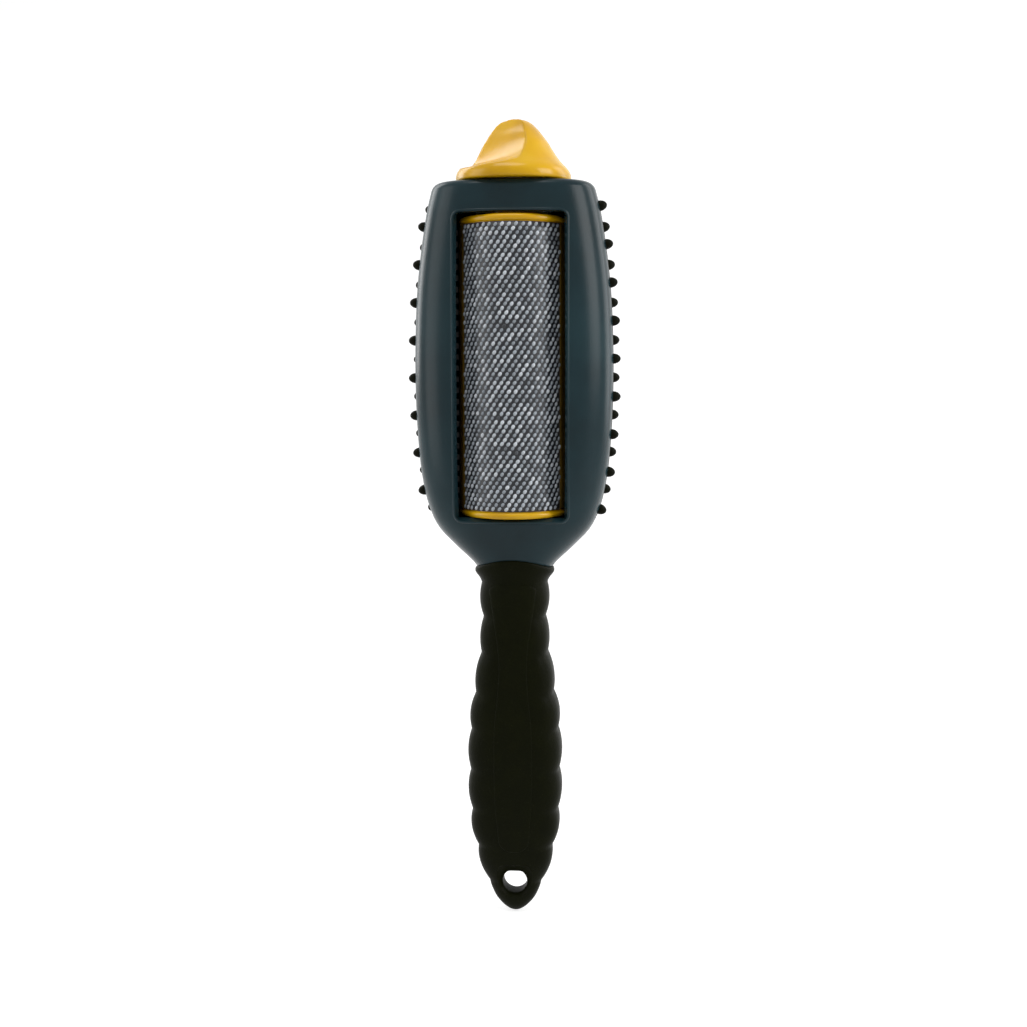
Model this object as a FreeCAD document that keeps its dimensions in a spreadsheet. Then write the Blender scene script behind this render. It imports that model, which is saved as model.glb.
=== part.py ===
import FreeCAD, Part
import math
import os

import Sketcher
from FreeCAD import Rotation, Vector

# Rotary clothes brush. Millimetres; +Z runs up the brush from the handle to the knob, the window
# looks along -Y and the origin is the centre of the grip, where a hand holds it. The drum turns
# about the Z axis.

doc = FreeCAD.newDocument("clothes_brush")

# --- driving dimensions ---------------------------------------------------------------------
SIZES = (
    # handle
    ("grip_drop", 54.0, "grip centre down to the handle's tip"),
    ("collar_rise", 53.7, "grip centre up to the grip's collar"),
    ("grip_half_width", 14.7, "half the grip's greatest width"),
    ("grip_half_depth", 10.2, "half the grip's greatest depth"),
    ("collar_half_width", 12.25, "half the collar's width"),
    ("collar_half_depth", 10.9, "half the collar's depth"),
    ("collar_arch_rise", 3.4, "how far the collar's edge arches up at front and back"),
    ("hole_radius", 3.75, "hang hole"),
    ("hole_rise", 10.2, "handle's tip up to the hang hole's centre"),
    ("dish_width", 1.6, "bevel round the hang hole"),
    ("panel_depth", 7.0, "grip's middle plane out to the floor of its panels"),
    ("panel_gap", 0.18, "seam round a grip panel"),
    ("core_half_width", 6.4, "handle core"),
    ("core_half_depth", 4.2, "handle core"),
    ("core_margin", 19.0, "handle's tip up to the core's end"),
    ("tang_half_width", 5.0, "tang held between the shells"),
    ("tang_half_depth", 3.0, "tang held between the shells"),
    ("tang_length", 24.0, "tang above the core's shoulder"),
    ("plug_half_width", 8.2, "neck of the shells inside the grip"),
    ("plug_half_depth", 7.0, "neck of the shells inside the grip"),
    ("plug_length", 14.0, "neck of the shells inside the grip"),
    # drum
    ("drum_radius", 16.7, "rims and pile"),
    ("drum_length", 90.0, "rim to rim"),
    ("drum_rise", 17.8, "collar up to the drum"),
    ("drum_wall", 2.4, "tube under the fabric"),
    ("rim_height", 2.5, "bare rim at each end of the drum"),
    ("fabric_thickness", 0.6, "pile and backing"),
    ("fabric_half_angle", 61.5, "half the arc of a patch"),
    ("fabric_gap", 0.05, "patch edge to its recess"),
    ("cap_plug", 4.0, "cap's spigot in the tube"),
    ("cap_web", 2.0, "floor of a cap"),
    ("neck_radius", 9.0, "upper journal"),
    ("stub_radius", 5.0, "lower journal"),
    ("stub_length", 6.6, "lower journal"),
    ("running_gap", 0.05, "journal to bush, all round"),
    ("thrust_gap", 0.1, "drum's shoulder above the lower bush"),
    # housing
    ("drum_proud", 0.7, "drum's front beyond the face"),
    ("cavity_gap", 1.5, "drum to the rear wall"),
    ("side_room", 13.7, "drum to the side of the housing"),
    ("widest_line", 1.0, "widest line of the housing behind the drum's axis"),
    ("parting_line", 2.0, "joint of the shells ahead of the drum's axis"),
    ("shell_wall", 2.2, "wall of both shells"),
    ("end_gap", 0.85, "drum's ends to the window and to the cavity's ends"),
    ("top_margin", 9.65, "window up to the top of the housing"),
    ("window_side_gap", 0.1, "window beside the drum"),
    ("window_corner", 2.0, "corner of the window"),
    ("bead_width", 1.3, "raised bead round the window"),
    ("bead_height", 0.45, "raised bead round the window"),
    ("bush_wall", 2.5, "both bushes"),
    ("bush_flange", 1.3, "flange beyond the bush's wall"),
    ("bush_flange_height", 2.0, "flange of both bushes"),
    ("bush_lower_length", 6.2, "lower bush"),
    ("washer_width", 3.4, "felt washer"),
    ("washer_recess", 0.8, "recess for the felt washer"),
    ("washer_proud", 0.3, "felt washer above the housing"),
    ("pocket_width", 4.6, "drum to the end of the side pockets"),
    ("wide_pocket_width", 8.0, "drum to the end of the pockets at mid height"),
    ("pocket_step", 22.0, "cavity's ends to the wide pockets"),
    ("pocket_ahead", 9.5, "side pockets ahead of the drum's axis"),
    ("pocket_behind", 9.0, "side pockets behind the drum's axis"),
    ("screw_reach", 6.4, "drum to the shell screws' centre line"),
    ("screw_inset", 12.0, "drum's ends to the shell screws"),
    ("screw_radius", 1.2, "shank of the housing's screws"),
    ("screw_head_radius", 2.5, "head of the housing's screws"),
    ("screw_head_height", 1.6, "head of the housing's screws"),
    ("screw_bite", 6.0, "shank of a shell screw in the front shell"),
    ("screw_seat", 6.5, "drum's axis back to the seat of a shell screw"),
    ("screw_gap", 0.05, "shank to its hole"),
    ("tang_screw_spacing", 5.4, "between the two tang screws"),
    ("tang_screw_rise", 5.6, "collar up to the tang screws"),
    ("tang_screw_bite", 4.0, "shank of a tang screw in the front shell"),
    ("tang_screw_seat", 7.4, "middle plane back to the seat of a tang screw"),
    # wipers
    ("wiper_stand", 1.3, "drum to the wiper's base"),
    ("wiper_base", 1.9, "thickness of the base"),
    ("wiper_width", 5.4, "width of the base"),
    ("wiper_ahead", 0.3, "drum's axis forward to the base"),
    ("tooth_gap", 0.3, "tooth to pile"),
    ("tooth_thickness", 1.4, "tooth of the comb"),
    ("tooth_width", 1.6, "tooth of the comb"),
    ("tooth_pitch", 3.4, "tooth to tooth"),
    ("rail_width", 1.2, "rail of the front shell behind a wiper"),
    # nub pad
    ("pad_thickness", 1.6, "rubber pad"),
    ("pad_low", 1.0, "drum's lower end down to the pad's edge"),
    ("pad_high", 6.2, "drum's upper end up to the pad's edge"),
    ("nub_radius", 1.65, "foot of a nub"),
    ("nub_tip_radius", 0.8, "tip of a nub"),
    ("nub_height", 2.4, "nub above the pad"),
    ("nub_pitch", 5.75, "row to row"),
    ("nub_spacing", 6.4, "column to column"),
    ("nub_inset", 1.9, "pad's edge to the first column"),
    # knob
    ("knob_radius", 17.1, "flange of the knob"),
    ("knob_height", 18.5, "underside to top"),
    ("knob_gap", 0.6, "housing up to the knob"),
    ("flange_height", 3.4, "flange of the knob"),
    ("bell_foot", 13.2, "radius where the bell leaves the flange"),
    ("bell_waist", 9.3, "radius half way up the bell"),
    ("crown_radius", 5.0, "radius where the rounded top begins"),
    ("crown_drop", 1.9, "height of the rounded top"),
    ("scoop_radius", 34.0, "finger scoops"),
    ("scoop_depth", 31.7, "axis out to a scoop's centre"),
    ("scoop_lift", 34.5, "knob's underside up to a scoop's centre"),
    ("scoop_turn", 30.0, "turn of the ridge"),
    ("key_half_width", 5.0, "square key of the neck"),
    ("key_height", 5.0, "square key of the neck"),
    ("knob_screw_radius", 1.7, "knob screw"),
    ("knob_screw_head", 3.2, "knob screw's head"),
    ("knob_screw_bite", 8.0, "knob screw above the key"),
)

# Heights and radii that follow from the driving dimensions.
DERIVED = (
    ("tip_z", "-Sizes.grip_drop"),
    ("hole_z", "-Sizes.grip_drop + Sizes.hole_rise"),
    ("core_low", "-Sizes.grip_drop + Sizes.core_margin"),
    ("plug_low", "Sizes.collar_rise - Sizes.plug_length"),
    ("neck_low", "Sizes.collar_rise + 0.8"),
    ("drum_low", "Sizes.collar_rise + Sizes.drum_rise"),
    ("drum_high", "drum_low + Sizes.drum_length"),
    ("fabric_low", "drum_low + Sizes.rim_height"),
    ("fabric_high", "drum_high - Sizes.rim_height"),
    ("cavity_low", "drum_low - Sizes.end_gap"),
    ("cavity_high", "drum_high + Sizes.end_gap"),
    ("top_z", "cavity_high + Sizes.top_margin"),
    ("knob_low", "top_z + Sizes.knob_gap"),
    ("knob_top", "knob_low + Sizes.knob_height"),
    ("washer_low", "top_z - Sizes.washer_recess"),
    ("bush_lower_high", "drum_low - Sizes.thrust_gap - 1.0"),
    ("tube_radius", "Sizes.drum_radius - Sizes.fabric_thickness"),
    ("tube_bore", "tube_radius - Sizes.drum_wall"),
    ("face_depth", "Sizes.drum_radius - Sizes.drum_proud"),
    ("rear_depth", "Sizes.drum_radius + Sizes.cavity_gap + Sizes.shell_wall + Sizes.pad_thickness"),
    ("side_width", "Sizes.drum_radius + Sizes.side_room"),
    ("screw_x", "Sizes.drum_radius + Sizes.screw_reach"),
    ("pocket_x", "Sizes.drum_radius + Sizes.pocket_width"),
    ("wide_pocket_x", "Sizes.drum_radius + Sizes.wide_pocket_width"),
    ("window_half", "Sizes.drum_radius + Sizes.window_side_gap"),
    ("wiper_x", "Sizes.drum_radius + Sizes.wiper_stand"),
    ("rail_x", "wiper_x + Sizes.wiper_base"),
)


def make_sheet(name, rows):
    """One spreadsheet: aliased values in column A, their meaning in column B."""
    sheet = doc.addObject("Spreadsheet::Sheet", name)
    for row, entry in enumerate(rows, 1):
        value = entry[1]
        sheet.set(f"A{row}", "=" + value if isinstance(value, str) else str(value))
        sheet.setAlias(f"A{row}", entry[0])
        if len(entry) > 2:
            sheet.set(f"B{row}", entry[2])
    doc.recompute()
    return sheet


sizes = make_sheet("Sizes", SIZES)
levels = make_sheet("Levels", DERIVED)


OWNERS = {entry[0]: sheet for sheet, rows in ((sizes, SIZES), (levels, DERIVED)) for entry in rows}


def size(alias):
    """The number that a cell of either sheet holds."""
    return float(OWNERS[alias].get(alias))


def evaluate(expression):
    """The number that an expression on the two sheets gives."""
    return float(sizes.evalExpression(expression))


def bind(item, **expressions):
    """Bind an object's properties; "__" in a key stands for a dot."""
    for key, expression in expressions.items():
        item.setExpression(key.replace("__", "."), expression)
    return item


def place(item, x="0", y="0", z="0"):
    """Bind an object's position."""
    return bind(item, Placement__Base__x=x, Placement__Base__y=y, Placement__Base__z=z)


def box(name, x, y, z, length, width, height):
    """A box by its low corner and its lengths along X, Y and Z."""
    item = doc.addObject("Part::Box", name)
    bind(item, Length=length, Width=width, Height=height)
    return place(item, x, y, z)


def rod(name, radius, height, x="0", y="0", z="0", turn=None):
    """A cylinder along Z, or along another axis when it is turned."""
    item = doc.addObject("Part::Cylinder", name)
    if turn is not None:
        item.Placement.Rotation = turn
    bind(item, Radius=radius, Height=height)
    return place(item, x, y, z)


def cut(name, base, *tools):
    """Base less the tools."""
    tool = tools[0] if len(tools) == 1 else join(name + "_tools", *tools)
    item = doc.addObject("Part::Cut", name)
    item.Base, item.Tool = base, tool
    return item


def join(name, *items):
    """Several solids as one."""
    item = doc.addObject("Part::MultiFuse", name)
    item.Shapes = list(items)
    return item


def overlap(name, *items):
    """What several solids share."""
    item = doc.addObject("Part::MultiCommon", name)
    item.Shapes = list(items)
    return item


def feature(name, shape):
    """A shape made with Part's own functions."""
    item = doc.addObject("Part::Feature", name)
    item.Shape = shape
    return item


TO_BACK = Rotation(Vector(1, 0, 0), -90)      # turns +Z to +Y


def turned(name, corners):
    """A PartDesign body turned about Z from corners given as (radius, height) expressions."""
    body = doc.addObject("PartDesign::Body", name)
    sketch = body.newObject("Sketcher::SketchObject", name + "_profile")
    plane = next(item for item in body.Origin.OriginFeatures if item.Role == "XZ_Plane")
    sketch.AttachmentSupport = [(plane, "")]
    sketch.MapMode = "FlatFace"
    points = [Vector(evaluate(radius), evaluate(height), 0) for radius, height in corners]
    count = len(points)
    for index in range(count):
        sketch.addGeometry(Part.LineSegment(points[index], points[(index + 1) % count]), False)
    for index in range(count):
        sketch.addConstraint(Sketcher.Constraint("Coincident", index, 2, (index + 1) % count, 1))
    for index, (radius, height) in enumerate(corners):
        for kind, expression, value in (("DistanceX", radius, points[index].x),
                                        ("DistanceY", height, points[index].y)):
            number = sketch.addConstraint(Sketcher.Constraint(kind, -1, 1, index, 1, value))
            sketch.setExpression(f"Constraints[{number}]", expression)
    spin = body.newObject("PartDesign::Revolution", name + "_turned")
    spin.Profile = sketch
    spin.ReferenceAxis = (sketch, ["V_Axis"])
    spin.Angle = 360
    return body


# --- housing form ---------------------------------------------------------------------------
# Each station: height share from neck to top, then width, front depth and rear depth as shares
# of the greatest, and the squareness of the outline (2 is an ellipse).
HEAD_STATIONS = (
    (0.000, 0.372, 0.580, 0.423, 2.00),
    (0.043, 0.523, 0.660, 0.500, 2.10),
    (0.094, 0.722, 0.790, 0.660, 2.30),
    (0.140, 0.836, 0.920, 0.830, 2.45),
    (0.217, 0.924, 0.985, 0.945, 2.60),
    (0.370, 0.984, 1.000, 0.990, 2.60),
    (0.574, 1.000, 1.000, 1.000, 2.60),
    (0.779, 0.954, 0.988, 0.968, 2.60),
    (0.923, 0.865, 0.955, 0.905, 2.60),
    (1.000, 0.786, 0.912, 0.840, 2.60),
)


OUTLINE_SIDES = 30                            # flats round an outline, each about 5 mm wide


def outline(half_width, front, rear, square, middle, height):
    """A closed outline at one height: a squared ellipse in short flats, deeper behind."""
    corners = []
    for index in range(OUTLINE_SIDES):
        angle = 2 * math.pi * (index + 0.5) / OUTLINE_SIDES
        across, along = math.cos(angle), math.sin(angle)
        depth = rear if along > 0 else front
        reach = (abs(across / half_width) ** square + abs(along / depth) ** square) ** (-1 / square)
        corners.append(Vector(reach * across, middle + reach * along, height))
    return Part.makePolygon(corners + corners[:1])


def head_form(side_in=0.0, front_in=0.0, rear_in=0.0):
    """The housing's form, drawn in by a wall at the sides, in front and behind."""
    low, high, middle = size("neck_low"), size("top_z"), size("widest_line")
    wires = []
    for share, width, front, rear, square in HEAD_STATIONS:
        wires.append(outline(width * size("side_width") - side_in,
                             front * size("face_depth") + middle - front_in,
                             rear * size("rear_depth") - middle - rear_in,
                             square, middle, low + share * (high - low)))
    return Part.makeLoft(wires, True, False)


def bar(name, half_width, half_depth, low, high):
    """An upright bar with a full oval section."""
    wire = outline(half_width, half_depth, half_depth, 2.6, 0.0, low)
    return feature(name, Part.Face(wire).extrude(Vector(0, 0, high - low)))


head = feature("head", head_form())
pad_bed = feature("pad_bed", head_form(size("pad_thickness"), 0.0, size("pad_thickness")))
NECK_ROOT = 2.0                               # the neck's plug runs this far into the head
plug = bar("plug", size("plug_half_width"), size("plug_half_depth"), size("plug_low"),
           size("neck_low") + NECK_ROOT)
casing = join("casing", head, plug)
front_block = box("front_block", "-60", "-60 - Sizes.parting_line", "-60", "120", "60", "300")
rear_block = box("rear_block", "-60", "-Sizes.parting_line", "-60", "120", "60", "300")

CAVITY_HEIGHT = "Levels.cavity_high - Levels.cavity_low"
drum_space = rod("drum_space", "Sizes.drum_radius + Sizes.cavity_gap", CAVITY_HEIGHT,
                 "0", "0", "Levels.cavity_low")
side_space = box("side_space", "-Levels.pocket_x", "-Sizes.pocket_ahead", "Levels.cavity_low",
                 "2 * Levels.pocket_x", "Sizes.pocket_ahead + Sizes.pocket_behind", CAVITY_HEIGHT)
wide_space = box("wide_space", "-Levels.wide_pocket_x", "-Sizes.pocket_ahead + 2",
                 "Levels.cavity_low + Sizes.pocket_step", "2 * Levels.wide_pocket_x",
                 "Sizes.pocket_ahead + Sizes.pocket_behind - 4", CAVITY_HEIGHT + " - 2 * Sizes.pocket_step")
cavity = join("cavity", drum_space, side_space, wide_space)

# Fasteners: centre lines of the four shell screws and the two tang screws.
SHELL_SCREWS = [(side, end) for side in ("-Levels.screw_x", "Levels.screw_x")
                for end in ("Levels.drum_low + Sizes.screw_inset", "Levels.drum_high - Sizes.screw_inset")]
TANG_SCREW_Z = "Sizes.collar_rise + Sizes.tang_screw_rise"


def screw(name, x, z, seat, bite):
    """A pan-head screw along Y with its head behind."""
    tip = f"Sizes.parting_line + {bite}"
    shank = rod(name + "_shank", "Sizes.screw_radius", f"{seat} + {tip}", x, f"-({tip})", z, TO_BACK)
    head_part = rod(name + "_head", "Sizes.screw_head_radius", "Sizes.screw_head_height",
                    x, seat, z, TO_BACK)
    return join(name, shank, head_part)


def screw_hole(name, x, z, seat, bite, mouth):
    """The stepped hole of such a screw."""
    tip = f"Sizes.parting_line + {bite} + 0.5"
    bore = rod(name + "_bore", "Sizes.screw_radius + Sizes.screw_gap", f"{seat} + {tip}",
               x, f"-({tip})", z, TO_BACK)
    sink = rod(name + "_sink", "Sizes.screw_head_radius + Sizes.screw_gap", mouth, x, seat, z, TO_BACK)
    return join(name, bore, sink)


holes, shell_screw_solids, tang_screw_solids = [], [], []
for index, (x, z) in enumerate(SHELL_SCREWS):
    shell_screw_solids.append(screw(f"shell_screw_{index}", x, z, "Sizes.screw_seat", "Sizes.screw_bite"))
    holes.append(screw_hole(f"shell_hole_{index}", x, z, "Sizes.screw_seat", "Sizes.screw_bite", "30"))
for index, x in enumerate(("-Sizes.tang_screw_spacing / 2", "Sizes.tang_screw_spacing / 2")):
    tang_screw_solids.append(screw(f"tang_screw_{index}", x, TANG_SCREW_Z, "Sizes.tang_screw_seat",
                                    "Sizes.tang_screw_bite"))
    holes.append(screw_hole(f"tang_hole_{index}", x, TANG_SCREW_Z, "Sizes.tang_screw_seat",
                            "Sizes.tang_screw_bite", "30"))

# Seats that pass through both shells: bushes, washer, drum neck and tang.


def bush(name, bore, low, high, flange_low):
    """A flanged bush round a journal, as a PartDesign body."""
    wall = f"{bore} + Sizes.bush_wall"
    flange = f"{wall} + Sizes.bush_flange"
    flange_high = f"{flange_low} + Sizes.bush_flange_height"
    return turned(name, ((bore, low), (wall, low), (wall, flange_low), (flange, flange_low),
                         (flange, flange_high), (wall, flange_high), (wall, high), (bore, high)))


NECK_BORE = "Sizes.neck_radius + Sizes.running_gap"
STUB_BORE = "Sizes.stub_radius + Sizes.running_gap"
UPPER = ("Levels.cavity_high + 0.4", "Levels.washer_low", "Levels.cavity_high + 3")
LOWER = ("Levels.bush_lower_high - Sizes.bush_lower_length", "Levels.bush_lower_high",
         "Levels.bush_lower_high - 4")


def seat(name, bore, low, high, flange_low, mouth_low, mouth_high):
    """The space of a flanged bush in the shells, with its open mouths."""
    wall = f"{bore} + Sizes.bush_wall"
    flange = f"{wall} + Sizes.bush_flange"
    barrel = rod(name + "_barrel", wall, f"({mouth_high}) - ({mouth_low})", "0", "0", mouth_low)
    groove = rod(name + "_groove", flange, "Sizes.bush_flange_height", "0", "0", flange_low)
    return join(name, barrel, groove)


upper_seat = seat("upper_seat", NECK_BORE, *UPPER, "Levels.cavity_high - 1", "Levels.top_z + 1")
lower_seat = seat("lower_seat", STUB_BORE, *LOWER, LOWER[0], "Levels.cavity_low + 1")
washer_seat = rod("washer_seat", f"{NECK_BORE} + Sizes.washer_width", "Sizes.washer_recess + 1",
                  "0", "0", "Levels.washer_low")
tang_high = "Levels.plug_low + Sizes.tang_length"
tang_space = bar("tang_space", size("tang_half_width"), size("tang_half_depth"),
                 size("plug_low") - 1.0, size("plug_low") + size("tang_length"))
# --- front shell ----------------------------------------------------------------------------


def rounded_block(name, half_width, low, height, corner, front, depth):
    """A block along Y with rounded corners, by a PartDesign sketch on the XZ plane."""
    body = doc.addObject("PartDesign::Body", name)
    block = body.newObject("PartDesign::AdditiveBox", name + "_box")
    bind(block, Length=f"2 * ({half_width})", Width=depth, Height=height)
    place(block, f"-({half_width})", front, low)
    doc.recompute()
    edges = [f"Edge{number}" for number, edge in enumerate(block.Shape.Edges, 1)
             if abs(edge.tangentAt(edge.FirstParameter).y) > 0.99]
    rounding = body.newObject("PartDesign::Fillet", name + "_corners")
    rounding.Base = (block, edges)
    bind(rounding, Radius=corner)
    return body


window = rounded_block("window", "Levels.window_half", "Levels.cavity_low", CAVITY_HEIGHT,
                       "Sizes.window_corner", "-40", "40")
bead_block = rounded_block("bead_block", "Levels.window_half + Sizes.bead_width",
                           "Levels.cavity_low - Sizes.bead_width",
                           CAVITY_HEIGHT + " + 2 * Sizes.bead_width",
                           "Sizes.window_corner + Sizes.bead_width", "-40", "34")
bead_form = feature("bead_form", head_form(0.0, -size("bead_height"), 0.0))
bead = overlap("bead", bead_block, bead_form)

rails = []
for side, low_x in (("left", "-Levels.rail_x - Sizes.rail_width"), ("right", "Levels.rail_x")):
    rails.append(box("rail_" + side, low_x, "-30", "Levels.cavity_low", "Sizes.rail_width",
                     "30 - Sizes.parting_line", CAVITY_HEIGHT))
rail_form = overlap("rail_form", join("rails", *rails), head)

front_half = overlap("front_half", casing, front_block)
front_full = join("front_full", cut("front_hollow", front_half, cavity), rail_form, bead)
front_shell = cut("front_shell", front_full, window, *holes, upper_seat, lower_seat, washer_seat, tang_space)

# --- rear shell and nub pad -----------------------------------------------------------------
pad_band = box("pad_band", "-60", "-Sizes.parting_line", "Levels.drum_low - Sizes.pad_low", "120", "80",
               "Sizes.drum_length + Sizes.pad_low + Sizes.pad_high")
pad_blank = cut("pad_blank", overlap("pad_zone", head, pad_band), pad_bed)
rear_half = overlap("rear_half", casing, rear_block)
rear_shell = cut("rear_shell", rear_half, cavity, pad_blank, *holes, upper_seat, lower_seat, washer_seat,
                 tang_space)
doc.recompute()

NUB_SIDES = 6
NUB_ROOT = 0.5                                # a nub's foot runs this far into the pad


def nub(point, normal):
    """A blunt six-sided spike that stands on the pad at a point."""
    along = Vector(0, 0, 1).cross(normal).normalize()
    upward = normal.cross(along).normalize()
    foot, tip = size("nub_radius"), size("nub_tip_radius")
    height = size("nub_height")
    rings = []
    for reach, radius in ((-NUB_ROOT, foot), (0.35 * height, 0.86 * foot), (height, tip)):
        centre = point + normal * reach
        corners = [centre + (along * math.cos(angle) + upward * math.sin(angle)) * radius
                   for angle in (2 * math.pi * step / NUB_SIDES for step in range(NUB_SIDES + 1))]
        rings.append(Part.makePolygon(corners))
    return Part.makeLoft(rings, True, True)


def nub_row(height, odd, count):
    """Every other place of a row of nubs round the back of the housing at one height."""
    wire = head.Shape.slice(Vector(0, 0, 1), height)[0]
    trail = [point for point in wire.discretize(Number=600) if point.y > -size("parting_line")]
    trail.sort(key=lambda point: math.atan2(point.y + size("parting_line"), point.x))
    run = [0.0]
    for before, after in zip(trail, trail[1:]):
        run.append(run[-1] + (after - before).Length)
    nubs = []
    for column in range(odd, count, 2):
        goal = size("nub_inset") + (run[-1] - 2 * size("nub_inset")) * column / (count - 1)
        near = min(range(len(run)), key=lambda index: abs(run[index] - goal))
        point = trail[near]
        normal = surface_normal(point)
        nubs.append(nub(point, normal))
    return nubs, run[-1]


def surface_normal(point):
    """Outward normal of the housing's form at a point on its side."""
    sides = [face for face in head.Shape.Faces if abs(face.normalAt(0.5, 0.5).z) < 0.95]
    face = min(sides, key=lambda side: side.distToShape(Part.Vertex(point))[0])
    along, across = face.Surface.parameter(point)
    normal = face.normalAt(along, across)
    return normal if normal.dot(Vector(point.x, point.y, 0)) > 0 else normal * -1


pad_height = size("drum_length") + size("pad_low") + size("pad_high")
rows = int((pad_height - 2 * size("nub_inset")) // size("nub_pitch")) + 1
row_low = size("drum_low") - size("pad_low") + (pad_height - (rows - 1) * size("nub_pitch")) / 2
widest_run = nub_row(size("drum_low") + size("drum_length") / 2, 0, 2)[1]
columns = int((widest_run - 2 * size("nub_inset")) // size("nub_spacing")) + 1
nubs = []
for row in range(rows):
    nubs += nub_row(row_low + row * size("nub_pitch"), row % 2, columns)[0]
nub_pad = feature("nub_pad", pad_blank.Shape.fuse(nubs).removeSplitter())

# --- bushes, washer and wipers --------------------------------------------------------------
top_bush = bush("top_bush", NECK_BORE, *UPPER)
bottom_bush = bush("bottom_bush", STUB_BORE, *LOWER)
felt_washer = turned("felt_washer", (
    ("Sizes.neck_radius + 0.3", "Levels.washer_low"),
    ("Sizes.neck_radius + Sizes.running_gap + Sizes.washer_width", "Levels.washer_low"),
    ("Sizes.neck_radius + Sizes.running_gap + Sizes.washer_width", "Levels.top_z + Sizes.washer_proud"),
    ("Sizes.neck_radius + 0.3", "Levels.top_z + Sizes.washer_proud")))

pile_space = rod("pile_space", "Sizes.drum_radius + Sizes.tooth_gap", CAVITY_HEIGHT,
                 "0", "0", "Levels.cavity_low")


def wiper(name, side):
    """A comb: a flat base on its rail and teeth that reach in to the pile."""
    low_x = "Levels.wiper_x" if side > 0 else "-Levels.rail_x"
    base = box(name + "_base", low_x, "-Sizes.wiper_ahead - Sizes.wiper_width", "Levels.fabric_low",
               "Sizes.wiper_base", "Sizes.wiper_width", "Levels.fabric_high - Levels.fabric_low")
    low_tooth = "0" if side > 0 else "-Levels.wiper_x"
    tooth = box(name + "_tooth", low_tooth,
                "-Sizes.wiper_ahead - (Sizes.wiper_width + Sizes.tooth_thickness) / 2",
                "Levels.fabric_low + Sizes.tooth_width / 2", "Levels.wiper_x",
                "Sizes.tooth_thickness", "Sizes.tooth_width")
    span = size("fabric_high") - size("fabric_low") - 2 * size("tooth_width")
    pitch = size("tooth_pitch")
    doc.recompute()
    teeth = [tooth.Shape.translated(Vector(0, 0, pitch * step)) for step in range(int(span // pitch) + 1)]
    comb = feature(name + "_comb", Part.makeCompound(teeth))
    return join(name, base, cut(name + "_teeth", comb, pile_space))


wiper_left = wiper("wiper_left", -1)
wiper_right = wiper("wiper_right", 1)

# --- drum -----------------------------------------------------------------------------------


def sector(name, inner, outer, low, height, half_angle, centre):
    """Part of a ring about Z, centred on a direction given in degrees."""
    thick = rod(name + "_outer", outer, height, "0", "0", low)
    bind(thick, Angle=f"2 * ({half_angle})", Placement__Rotation__Angle=f"{centre} - ({half_angle})")
    hole = rod(name + "_inner", inner, f"{height} + 2", "0", "0", f"{low} - 1")
    return cut(name, thick, hole)


FRONT, REAR = 270, 90                         # directions of the two patches
FABRIC_HEIGHT = "Levels.fabric_high - Levels.fabric_low"
GAP_ANGLE = "Sizes.fabric_half_angle - Sizes.fabric_gap / Sizes.drum_radius * 57.3"
tube_blank = turned("tube_blank", (
    ("Levels.tube_bore", "Levels.fabric_low"), ("Sizes.drum_radius", "Levels.fabric_low"),
    ("Sizes.drum_radius", "Levels.fabric_high"), ("Levels.tube_bore", "Levels.fabric_high")))
beds = [sector(f"bed_{centre}", "Levels.tube_radius", "Sizes.drum_radius + 1", "Levels.fabric_low - 1",
               FABRIC_HEIGHT + " + 2", "Sizes.fabric_half_angle", centre) for centre in (FRONT, REAR)]
drum_tube = cut("drum_tube", tube_blank, *beds)
fabric_front = sector("fabric_front", "Levels.tube_radius", "Sizes.drum_radius", "Levels.fabric_low",
                      FABRIC_HEIGHT, GAP_ANGLE, FRONT)
fabric_rear = sector("fabric_rear", "Levels.tube_radius", "Sizes.drum_radius", "Levels.fabric_low",
                     FABRIC_HEIGHT, GAP_ANGLE, REAR)

SCREW_BORE = "Sizes.knob_screw_radius + Sizes.screw_gap"
cap_blank = turned("cap_blank", (
    (SCREW_BORE, "Levels.fabric_high - Sizes.cap_plug"),
    ("Levels.tube_bore", "Levels.fabric_high - Sizes.cap_plug"),
    ("Levels.tube_bore", "Levels.fabric_high"), ("Sizes.drum_radius", "Levels.fabric_high"),
    ("Sizes.drum_radius", "Levels.drum_high - 0.5"), ("Sizes.drum_radius - 0.5", "Levels.drum_high"),
    ("Sizes.neck_radius", "Levels.drum_high"), ("Sizes.neck_radius", "Levels.knob_low"),
    (SCREW_BORE, "Levels.knob_low")))
cap_cup = rod("cap_cup", "Levels.tube_bore - Sizes.cap_web", "Sizes.cap_plug", "0", "0",
              "Levels.fabric_high - Sizes.cap_plug - 1")
key = box("key", "-Sizes.key_half_width", "-Sizes.key_half_width", "Levels.knob_low - 1",
          "2 * Sizes.key_half_width", "2 * Sizes.key_half_width", "Sizes.key_height + 1")
knob_screw_bore = rod("knob_screw_bore", SCREW_BORE, "80", "0", "0", "Levels.fabric_high - 20")
drum_cap_top = cut("drum_cap_top", join("cap_full", cap_blank, key), cap_cup, knob_screw_bore)
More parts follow.
